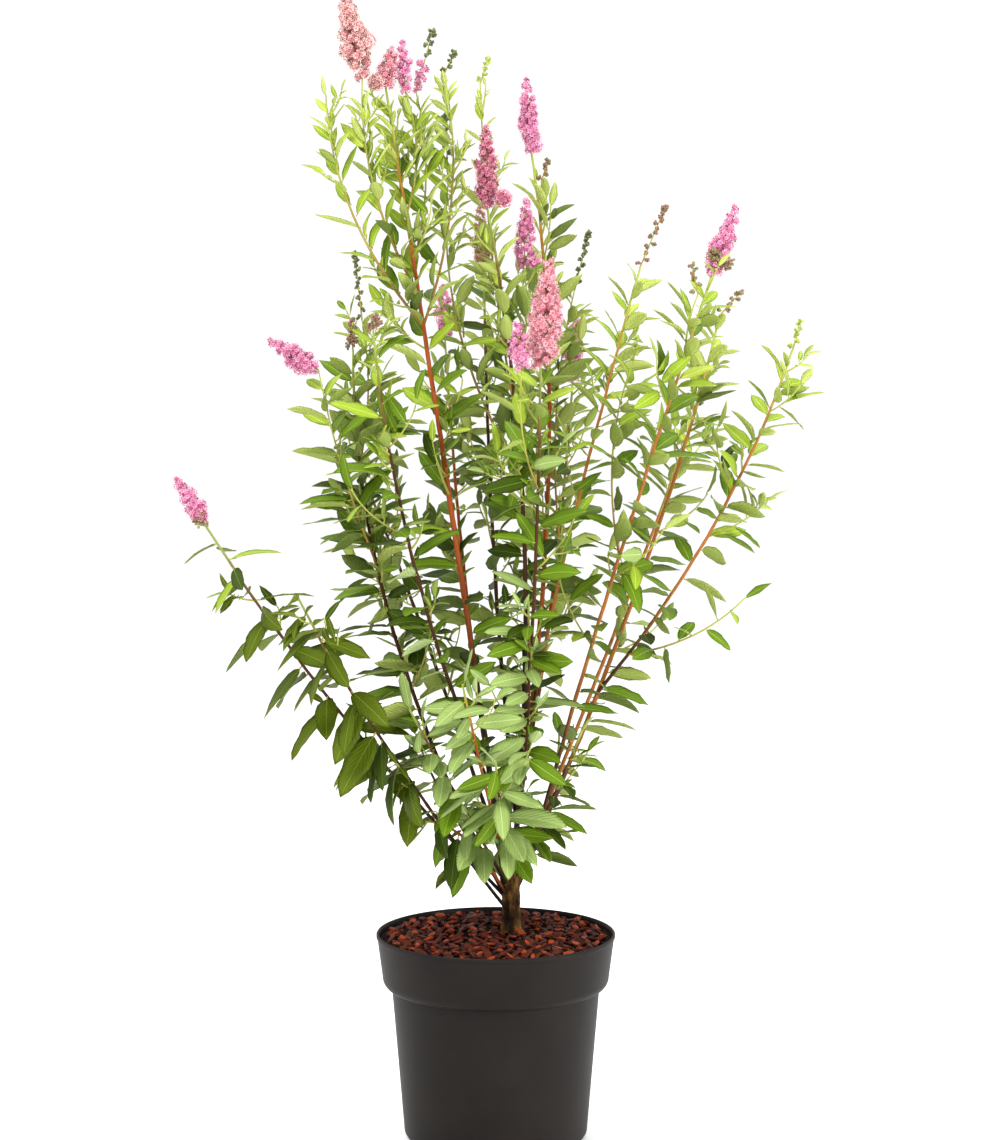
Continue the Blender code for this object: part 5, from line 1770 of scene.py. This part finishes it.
@dataclass
class Blossom:
    """Flower spikes in lumpy side clusters, and spikes in bud as knots of beads on a thin stalk."""

    masses: list[Mass]
    floret_radius: float = 0.0030
    floret_sizes: Pair = (0.72, 1.12)
    floret_depths: Pair = (0.72, 1.0)
    floret_crowding: float = 5.0
    floret_back: float = -0.30
    floret_lean: float = 0.35
    least_florets: int = 5
    lump_pitch: float = 0.0031
    least_lumps: int = 7
    lump_places: Pair = (0.55, 0.2)
    lump_turn: float = 0.3
    least_bulge: float = 0.03
    lump_share: float = 0.46
    lump_least: float = 0.0008
    lump_sizes: Pair = (0.62, 1.25)
    lump_reach: Pair = (0.72, 1.08)
    spike_taper: Pair = (1.30, 0.75)
    core_share: float = 0.80
    core_roughness: Pair = (0.86, 1.06)
    knot_pitch: float = 0.0040
    knot_crowding: float = 1.60
    knot_reach: float = 0.42
    knot_taper: float = 0.65
    knot_spread: Pair = (0.80, 1.15)
    knot_radius: float = 0.0016
    knot_beads: int = 8
    bead_radius: float = 0.0014
    bead_sizes: Pair = (0.8, 1.15)
    bead_lean: float = 0.6
    bead_point: float = 1.35
    bunch_beads: int = 48
    bunch_depths: Pair = (0.3, 0.95)
    opening_share: float = 0.45
    light_in_five: int = 3
    flowers: dict[Bloom, list[Placed]] = field(default_factory=lambda: {bloom: [] for bloom in BLOOM_COLOURS})
    cores: dict[Bloom, list[Placed]] = field(default_factory=lambda: {bloom: [] for bloom in BLOOM_COLOURS})
    buds: dict[Bloom, list[Placed]] = field(default_factory=lambda: {bloom: [] for bloom in BUD_COLOURS})
    nodes: dict[Bloom, set[str]] = field(default_factory=lambda: {bloom: set() for bloom in Bloom})
    trees: dict[int, Tree] = field(default_factory=lambda: {kinds: cluster_tree(kinds) for kinds in (1, 3)})

    def floret(self) -> Object:
        """Makes one floret of unit radius: five cupped petals, a dark middle and a brush of stamens."""
        petal = ((0.10, 0.0, 0.0), (0.62, -0.36, 0.16), (1.0, 0.0, 0.34), (0.62, 0.36, 0.16))
        middle = ((0.0, 0.0, 0.22), (0.34, -0.22, 0.08), (0.34, 0.22, 0.08))
        stamen = ((0.08, 0.0, 0.1), (0.62, -0.09, 1.0), (0.70, 0.09, 1.05))
        points, faces, kinds = [], [], []
        for number in range(5):
            for kind, (part, lead) in enumerate(((petal, 0.0), (middle, 0.0), (stamen, 0.6))):
                spoke = Matrix.Rotation(FULL_TURN * number / 5 + lead, 3, "Z")
                faces.append(tuple(range(len(points), len(points) + len(part))))
                points += [spoke @ Vector(corner) for corner in part]
                kinds.append(kind)
        mesh = bpy.data.meshes.new("floret_shape")
        mesh.from_pydata(points, [], faces)
        mesh.attributes.new("kind", "INT", "FACE").data.foreach_set("value", kinds)
        return link(mesh.name, mesh)

    def bead(self) -> Object:
        """Makes one round bud of unit radius with a small point."""
        work = bmesh.new()
        bmesh.ops.create_uvsphere(work, u_segments=7, v_segments=5, radius=1.0)
        for vert in work.verts:
            if vert.co.z > 0.9:
                vert.co.z = self.bead_point
        return from_work("bead_shape", work)

    def core(self) -> Object:
        """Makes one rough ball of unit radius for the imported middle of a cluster."""
        work = bmesh.new()
        bmesh.ops.create_icosphere(work, subdivisions=2, radius=1.0)
        chance = Random("core")
        for vert in work.verts:
            vert.co *= chance.uniform(*self.core_roughness)
        return from_work("core_shape", work)

    def lumps(self, foot: Vector, flower: Flower, chance: Random) -> list[Placed]:
        """Returns the centre, outward direction and radius of a spike's side clusters."""
        span = Vector(flower.top) - foot
        axis = span.normalized()
        count = max(self.least_lumps, round(span.length / self.lump_pitch))
        low, taper = self.spike_taper
        first, over = self.lump_places
        found = []
        for number in range(count):
            share = (number + first) / (count + over)
            bulge = math.sqrt(max(share * (1.0 - share), self.least_bulge))
            reach = flower.width * (low - taper * share) * bulge
            reach *= chance.uniform(*self.lump_reach)
            radius = (self.lump_share * reach + self.lump_least) * chance.uniform(*self.lump_sizes)
            turn = number * GOLDEN_ANGLE + chance.uniform(-self.lump_turn, self.lump_turn)
            out = sideways(axis, turn)
            found.append((foot + span * share + out * max(reach - radius, 0.0), out, radius))
        return found

    def open_lumps(self, bloom: Bloom, lumps: list[Placed], chance: Random) -> None:
        """Sets florets all over side clusters, and packs their middles."""
        for centre, out, radius in lumps:
            count = max(self.least_florets, round(self.floret_crowding * (radius / self.floret_radius) ** 2))
            for number in range(count):
                height = 1.0 - 2.0 * (number + 0.5) / count
                turn = number * GOLDEN_ANGLE
                level = math.sqrt(1.0 - height * height)
                way = Vector((level * math.cos(turn), level * math.sin(turn), height))
                if way.dot(out) < self.floret_back:
                    continue
                place = centre + way * (radius * chance.uniform(*self.floret_depths))
                size = self.floret_radius * chance.uniform(*self.floret_sizes)
                facing = (way + self.floret_lean * out).normalized()
                self.flowers[bloom].append((place, facing, size))
            self.cores[bloom].append((centre, out, self.core_share * radius))

    def add_beads(
        self, bloom: Bloom, foot: Vector, flower: Flower, first: float, chance: Random
    ) -> None:
        """Sets knots of buds up a spike, closer together towards its tip.

        Args:
            bloom: Their kind.
            foot: The spike's foot.
            flower: The spike.
            first: The share of it where they start.
            chance: Its own source of chance.
        """
        span = Vector(flower.top) - foot
        axis = span.normalized()
        count = round(span.length / self.knot_pitch)
        for number in range(int(first * count), count):
            share = 1.0 - (1.0 - (number + 0.5) / count) ** self.knot_crowding
            reach = self.knot_reach * flower.width * (1.0 - self.knot_taper * share)
            reach *= chance.uniform(*self.knot_spread)
            knot = foot + span * share + sideways(axis, number * GOLDEN_ANGLE) * reach
            for _ in range(self.knot_beads):
                way = self.any_way(chance)
                size = self.bead_radius * chance.uniform(*self.bead_sizes)
                facing = (way + self.bead_lean * axis).normalized()
                self.buds[bloom].append((knot + way * self.knot_radius, facing, size))

    def any_way(self, chance: Random) -> Vector:
        """Returns a unit vector in any direction."""
        return Vector([chance.gauss(0.0, 1.0) for _ in range(3)]).normalized()

    def add_spike(self, twig: Twig, node: str, chance: Random) -> None:
        """Sets a twig's flower spike. One that is opening has florets below and buds above."""
        flower, foot = twig.flower, twig.points[-1]
        if flower.bloom in self.buds:
            self.add_beads(flower.bloom, foot, flower, 0.0, chance)
            self.nodes[flower.bloom].add(node)
            return
        lumps = self.lumps(foot, flower, chance)
        if flower.bloom in self.flowers:
            self.open_lumps(flower.bloom, lumps, chance)
            self.nodes[flower.bloom].add(node)
            return
        self.open_lumps(Bloom.PINK, lumps[: len(lumps) // 2], chance)
        self.add_beads(Bloom.BUD_GREEN, foot, flower, self.opening_share, chance)
        self.nodes[Bloom.PINK].add(node)
        self.nodes[Bloom.BUD_GREEN].add(node)

    def add_bunch(self, bunch: Bunch, chance: Random) -> None:
        """Sets a side bunch of florets or of buds."""
        centre = Vector(bunch.centre)
        if bunch.bloom in self.flowers:
            self.open_lumps(bunch.bloom, [(centre, Vector((0.0, -1.0, 0.0)), bunch.radius)], chance)
            return
        for _ in range(self.bunch_beads):
            way = self.any_way(chance)
            place = centre + way * (bunch.radius * chance.uniform(*self.bunch_depths))
            self.buds[bunch.bloom].append((place, way, self.bead_radius))

    def cluster(
        self, name: str, bloom: Bloom, placed: list[Placed], shape: Object, *finishes: Finish
    ) -> Object:
        """Sets a shape on many places as one piece.

        Args:
            name: The piece's name.
            bloom: The kind of flower it belongs to.
            placed: Place, direction and size of each.
            shape: The small shape.
            finishes: One finish for each kind of face.

        Returns:
            The piece.
        """
        places, facing, sizes = zip(*placed)
        piece = points_object(name, places, [], {"facing": facing, "size": sizes})
        values = {"Shape": shape, "Seed": len(placed)}
        run_group(piece, self.trees[len(finishes)], values, *finishes)
        return stand_for(piece, "foliage", *sorted(self.nodes[bloom]))

    def build(self) -> list[Object]:
        """Makes the blossom and the buds, joined by kind and shade."""
        for mass in self.masses:
            for number, twig in enumerate(mass.twigs):
                if twig.flower:
                    chance = Random(f"blossom {mass.limb.name} {number}")
                    self.add_spike(twig, f"foliage_{mass.limb.name}", chance)
        chance = Random("bunches")
        for bunch in BUNCHES:
            self.add_bunch(bunch, chance)
        floret, bead, core = self.floret(), self.bead(), self.core()
        pieces = []
        for bloom, (light, deep, middle, stamen) in BLOOM_COLOURS.items():
            kind = bloom.value
            for shade, colour in (("light", light), ("deep", deep)):
                finishes = [
                    PetalFinish(f"{kind}_{part}_{shade}", tint)
                    for part, tint in (("petal", colour), ("middle", middle), ("stamen", stamen))
                ]
                some = [
                    entry
                    for number, entry in enumerate(self.flowers[bloom])
                    if (number % 5 < self.light_in_five) == (shade == "light")
                ]
                pieces.append(self.cluster(f"blossom_{kind}_{shade}", bloom, some, floret, *finishes))
            packed = PetalFinish(f"{kind}_packed_petals", deep, grain_mm=1.6)
            pieces.append(self.cluster(f"blossom_{kind}_core", bloom, self.cores[bloom], core, packed))
        for bloom, (dark, light) in BUD_COLOURS.items():
            for first, shade, colour in ((0, "dark", dark), (1, "light", light)):
                name = f"{bloom.value}_{shade}"
                some = self.buds[bloom][first::2]
                pieces.append(self.cluster(name, bloom, some, bead, PetalFinish(name, colour, 0.5)))
        for shape in (floret, bead, core):
            bpy.data.objects.remove(shape)
        return pieces


@dataclass
class Pot:
    """The round nursery pot: a turned shell with a collar, a thin lip and drain holes."""

    height: float = 0.200
    rim_radius: float = 0.1155
    lip_height: float = 0.0035
    lip_depth: float = 0.0010
    edge_in: float = 0.0006
    edge_down: float = 0.0008
    collar_foot_radius: float = 0.1096
    collar_foot_z: float = 0.1580
    shoulder_radius: float = 0.1006
    shoulder_z: float = 0.1475
    foot_radius: float = 0.0889
    foot_rounding: float = 0.0085
    wall: float = 0.0020
    steps: int = 160
    sharp_angle: float = 35.0
    drain_holes: int = 6
    drain_hole_radius: float = 0.0055
    drain_circle_radius: float = 0.060

    def inner(self) -> list[Pair]:
        """Returns the inner profile, from the middle of the floor to under the rim."""
        corner = 0.6 * self.foot_rounding
        return [
            (0.0, self.wall),
            (self.foot_radius - self.wall - corner, self.wall),
            (self.foot_radius - self.wall, self.wall + corner),
            (self.shoulder_radius - self.wall, self.shoulder_z + self.wall),
            (self.collar_foot_radius - self.wall, self.collar_foot_z - self.wall),
            (self.rim_radius - self.lip_depth - self.wall, self.height - self.lip_height),
        ]

    def arc(self, centre: Pair, radii: Pair, pieces: int) -> list:
        """Returns points on a quarter arc from the side of a profile to its underside."""
        angles = [-0.5 * math.pi * n / pieces for n in range(pieces + 1)]
        return [(centre[0] + radii[0] * math.cos(a), centre[1] + radii[1] * math.sin(a)) for a in angles]

    def outer(self) -> list[Pair]:
        """Returns the outer profile, from the rim down the collar and the body to the underside."""
        step = (self.collar_foot_radius - self.shoulder_radius, self.collar_foot_z - self.shoulder_z)
        inside = self.rim_radius - self.lip_depth - self.wall
        lip = self.height - self.lip_height
        top = self.height
        return [
            (inside + self.edge_in, top - self.edge_down),
            (inside + self.edge_in + self.edge_down, top),
            (self.rim_radius - self.edge_in, top),
            (self.rim_radius, top - self.edge_down),
            (self.rim_radius, lip),
            (self.rim_radius - self.lip_depth, lip - self.lip_depth),
            *self.arc((self.shoulder_radius, self.collar_foot_z), step, 9),
            *self.arc(
                (self.foot_radius - self.foot_rounding, self.foot_rounding),
                (self.foot_rounding, self.foot_rounding),
                7,
            ),
            (0.0, 0.0),
        ]

    def turn(self, name: str, profile: list[Pair]) -> Object:
        """Turns a profile of (radius, height) points about the pot's axis."""
        mesh = bpy.data.meshes.new(name)
        edges = [(n, n + 1) for n in range(len(profile) - 1)]
        mesh.from_pydata([(radius, 0.0, height) for radius, height in profile], edges, [])
        obj = link(name, mesh)
        screw = obj.modifiers.new("turn", "SCREW")
        screw.steps = screw.render_steps = self.steps
        screw.use_merge_vertices = True
        screw.merge_threshold = 1e-5
        return obj

    def settle(self, obj: Object, angle: float) -> None:
        """Applies an object's modifiers and shades it smooth up to an angle in degrees."""
        mesh = evaluated_mesh(obj)
        mesh.name = obj.name
        obj.modifiers.clear()
        obj.data = mesh
        mesh.shade_smooth()
        mesh.set_sharp_from_angle(angle=math.radians(angle))

    def build(self) -> Object:
        """Makes the pot and dresses it."""
        pot = self.turn("nursery_pot", self.inner() + self.outer())
        work = bmesh.new()
        for index in range(self.drain_holes):
            turn = FULL_TURN * (index + 0.5) / self.drain_holes
            place = Vector((math.cos(turn), math.sin(turn), 0.0)) * self.drain_circle_radius
            bmesh.ops.create_cone(
                work,
                cap_ends=True,
                segments=24,
                radius1=self.drain_hole_radius,
                radius2=self.drain_hole_radius,
                depth=6.0 * self.wall,
                matrix=Matrix.Translation(place),
            )
        cutter = from_work("drain_hole_cutters", work)
        cut = pot.modifiers.new("drain_holes", "BOOLEAN")
        cut.operation = "DIFFERENCE"
        cut.object = cutter
        self.settle(pot, self.sharp_angle)
        bpy.data.objects.remove(cutter)
        pot.data.materials.append(PotFinish().make())
        return stand_for(pot, "pot", "pot")


@dataclass(frozen=True)
class ChipLayer:
    """A layer of bark chips: its colour, reach, spacing, seed, height over the fill, and chip sizes."""

    name: str
    colour: str
    reach: float
    spacing: float
    seed: int
    lift: float
    smallest: Point
    largest: Point


@dataclass
class PottingBark:
    """The fill: dark crumbs under a loose layer of bark chips. The crumbs are near-black partly by their own
    colour and partly as painted shade in the gaps between the chips.
    """

    pot: Pot
    fill_z: float = 0.1970
    edge_drop: float = 0.0015
    flat_radius: float = 0.045
    side_gap: float = 0.0005
    skin: float = 0.0012
    rings: int = 26
    sharp_angle: float = 60.0
    crumbs: Pair = (-0.0012, 0.0010)
    crumb_depth: float = 0.0002
    crumb_margin: float = 0.001
    chip_roughness: Pair = (0.64, 1.0)
    chip_flatness: float = 0.60
    chip_density: float = 200000.0
    chip_layers: tuple[ChipLayer, ...] = (
        # The crumb layer's near-black colour is partly the crumbs' own and partly painted shade in the gaps
        # between the chips.
        ChipLayer(
            "crumb", "#080100", 0.1085, 0.0036, 11, -0.0020,
            (0.0016, 0.0012, 0.0008), (0.0030, 0.0024, 0.0014),
        ),
        ChipLayer(
            "dark", "#260803", 0.1030, 0.0105, 12, 0.0004,
            (0.0046, 0.0030, 0.0016), (0.0090, 0.0060, 0.0032),
        ),
        ChipLayer(
            "brown", "#4E1B0B", 0.1030, 0.0105, 13, 0.0014,
            (0.0044, 0.0028, 0.0016), (0.0086, 0.0056, 0.0032),
        ),
        ChipLayer(
            "rust", "#8E3814", 0.1040, 0.0200, 14, 0.0022,
            (0.0036, 0.0024, 0.0015), (0.0076, 0.0050, 0.0028),
        ),
    )

    def surface(self) -> Object:
        """Makes the crumbly fill inside the pot."""
        gap = self.side_gap
        wall = [(max(radius - gap, 0.0), height + gap) for radius, height in self.pot.inner()]
        edge_z = self.fill_z - self.edge_drop
        (low_radius, low_z), (top_radius, top_z) = wall[-2:]
        edge = low_radius + (top_radius - low_radius) * (edge_z - low_z) / (top_z - low_z)
        top = []
        for ring in range(self.rings):
            radius = edge * ring / self.rings
            top.append((radius, self.fill_z - self.skin - self.fall(radius, edge)))
        fill = self.pot.turn("potting_mix", top + [(edge, edge_z - self.skin)] + wall[-2::-1])
        self.pot.settle(fill, self.sharp_angle)
        chance = Random("crumbs")
        for vert in fill.data.vertices:
            inside = 0.0 < vert.co.xy.length < edge - self.crumb_margin
            if inside and vert.co.z > edge_z - self.skin - self.crumb_depth:
                vert.co.z += chance.uniform(*self.crumbs)
        return fill

    def fall(self, radius: float, edge: float) -> float:
        """Returns how far the fill's surface has dropped at a radius, towards its edge."""
        return self.edge_drop * max(0.0, (radius - self.flat_radius) / (edge - self.flat_radius))

    def chip(self) -> Object:
        """Makes one rough chip of unit size with broken edges."""
        work = bmesh.new()
        bmesh.ops.create_icosphere(work, subdivisions=1, radius=1.0)
        chance = Random("chip")
        for vert in work.verts:
            vert.co *= chance.uniform(*self.chip_roughness)
            vert.co.z = max(min(vert.co.z, self.chip_flatness), -self.chip_flatness)
        return from_work("chip_shape", work)

    def bed(self, layer: ChipLayer) -> Object:
        """Makes the surface that a layer of chips is scattered on, clear of the wall."""
        work = bmesh.new()
        bmesh.ops.create_circle(work, cap_ends=True, cap_tris=True, segments=64, radius=layer.reach)
        bmesh.ops.subdivide_edges(work, edges=work.edges, cuts=3, use_grid_fill=True)
        for vert in work.verts:
            vert.co.z = self.fill_z + layer.lift - self.fall(vert.co.xy.length, layer.reach)
        return from_work(f"bark_chips_{layer.name}", work)

    def build(self) -> list[Object]:
        """Makes the fill and its chips, and dresses them."""
        fill = self.surface()
        fill.data.materials.append(ChipFinish("damp_potting_mix", "#160803", 0.9).make())
        pieces = [stand_for(fill, "potting_bark", "potting_bark")]
        tree, chip = chip_tree(), self.chip()
        for layer in self.chip_layers:
            values = {
                "Chip": chip,
                "Spacing": layer.spacing,
                "Density": self.chip_density,
                "Seed": layer.seed,
                "Smallest": layer.smallest,
                "Largest": layer.largest,
            }
            finish = ChipFinish(f"{layer.name}_bark_chip", layer.colour)
            piece = run_group(self.bed(layer), tree, values, finish)
            pieces.append(stand_for(piece, "potting_bark", "potting_bark"))
        bpy.data.objects.remove(chip)
        return pieces


@dataclass(frozen=True)
class Lamp:
    """A soft area light: where it hangs, its size, its power and the point it is aimed at."""

    name: str
    place: Point
    size: Pair
    power: float
    aim: Point


@dataclass
class Studio:
    """A plain pale floor, soft light from all round, and the camera of the photograph."""

    camera_place: Point = (0.0041, -2.4, 0.741)
    camera_pitch: float = math.radians(4.52)
    lens: float = 79.48
    floor_size: float = 60.0
    floor_drop: float = 0.0005
    background: float = 1.07
    lamps: tuple[Lamp, ...] = (
        Lamp("key", (-1.4, -2.0, 2.9), (1.2, 1.2), 95.0, (0.0, 0.0, 0.6)),
        Lamp("right_strip", (1.7, -1.2, 0.7), (0.35, 1.8), 36.0, (0.0, 0.0, 0.3)),
        Lamp("top", (0.3, 0.7, 3.0), (1.4, 1.4), 55.0, (0.0, 0.0, 0.5)),
    )

    def add_lamp(self, lamp: Lamp) -> None:
        """Adds a soft area light."""
        data = bpy.data.lights.new(lamp.name, "AREA")
        data.shape = "RECTANGLE"
        data.size, data.size_y = lamp.size
        data.energy = lamp.power
        obj = link(lamp.name, data)
        obj.location = lamp.place
        obj.rotation_euler = (Vector(lamp.aim) - Vector(lamp.place)).to_track_quat("-Z", "Y").to_euler()

    def build(self) -> None:
        """Makes the floor, lights, background and camera."""
        scene = bpy.context.scene
        work = bmesh.new()
        bmesh.ops.create_grid(work, x_segments=1, y_segments=1, size=0.5 * self.floor_size)
        floor = from_work("studio_floor", work)
        floor.data.materials.append(PaperFinish().make())
        floor.location.z = -self.floor_drop
        scene.world = bpy.data.worlds.new("studio")
        scene.world.use_nodes = True
        background = scene.world.node_tree.nodes["Background"]
        background.inputs["Color"].default_value = srgb("#FFFFFF")
        background.inputs["Strength"].default_value = self.background
        for lamp in self.lamps:
            self.add_lamp(lamp)
        data = bpy.data.cameras.new("photo_camera")
        data.lens = self.lens
        data.sensor_fit = "AUTO"
        camera = link("photo_camera", data)
        camera.location = self.camera_place
        camera.rotation_euler = (0.5 * math.pi - self.camera_pitch, 0.0, 0.0)
        scene.camera = camera
        scene.view_settings.view_transform = "Standard"


def main() -> None:
    """Builds the studio, then the pot, the fill, the wood, the leaves and the blossom."""
    logging.basicConfig(level=logging.INFO, format="%(name)s: %(message)s")
    Studio().build()
    pot = Pot()
    pieces = [pot.build(), *PottingBark(pot).build()]
    skeleton = Skeleton(TrunkRule())
    masses = Growth(skeleton).grow()
    wood = Wood(skeleton, masses)
    tree = tube_tree()
    pieces += [wood.build_trunk(tree), *wood.build_limbs(tree), wood.build_shoots(tree)]
    pieces += Foliage(masses).build()
    pieces += Blossom(masses).build()
    for piece in pieces:
        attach(piece, "root")
        LOG.info("%s: %d faces", piece.name, len(piece.data.polygons))


if __name__ == "__main__":
    main()
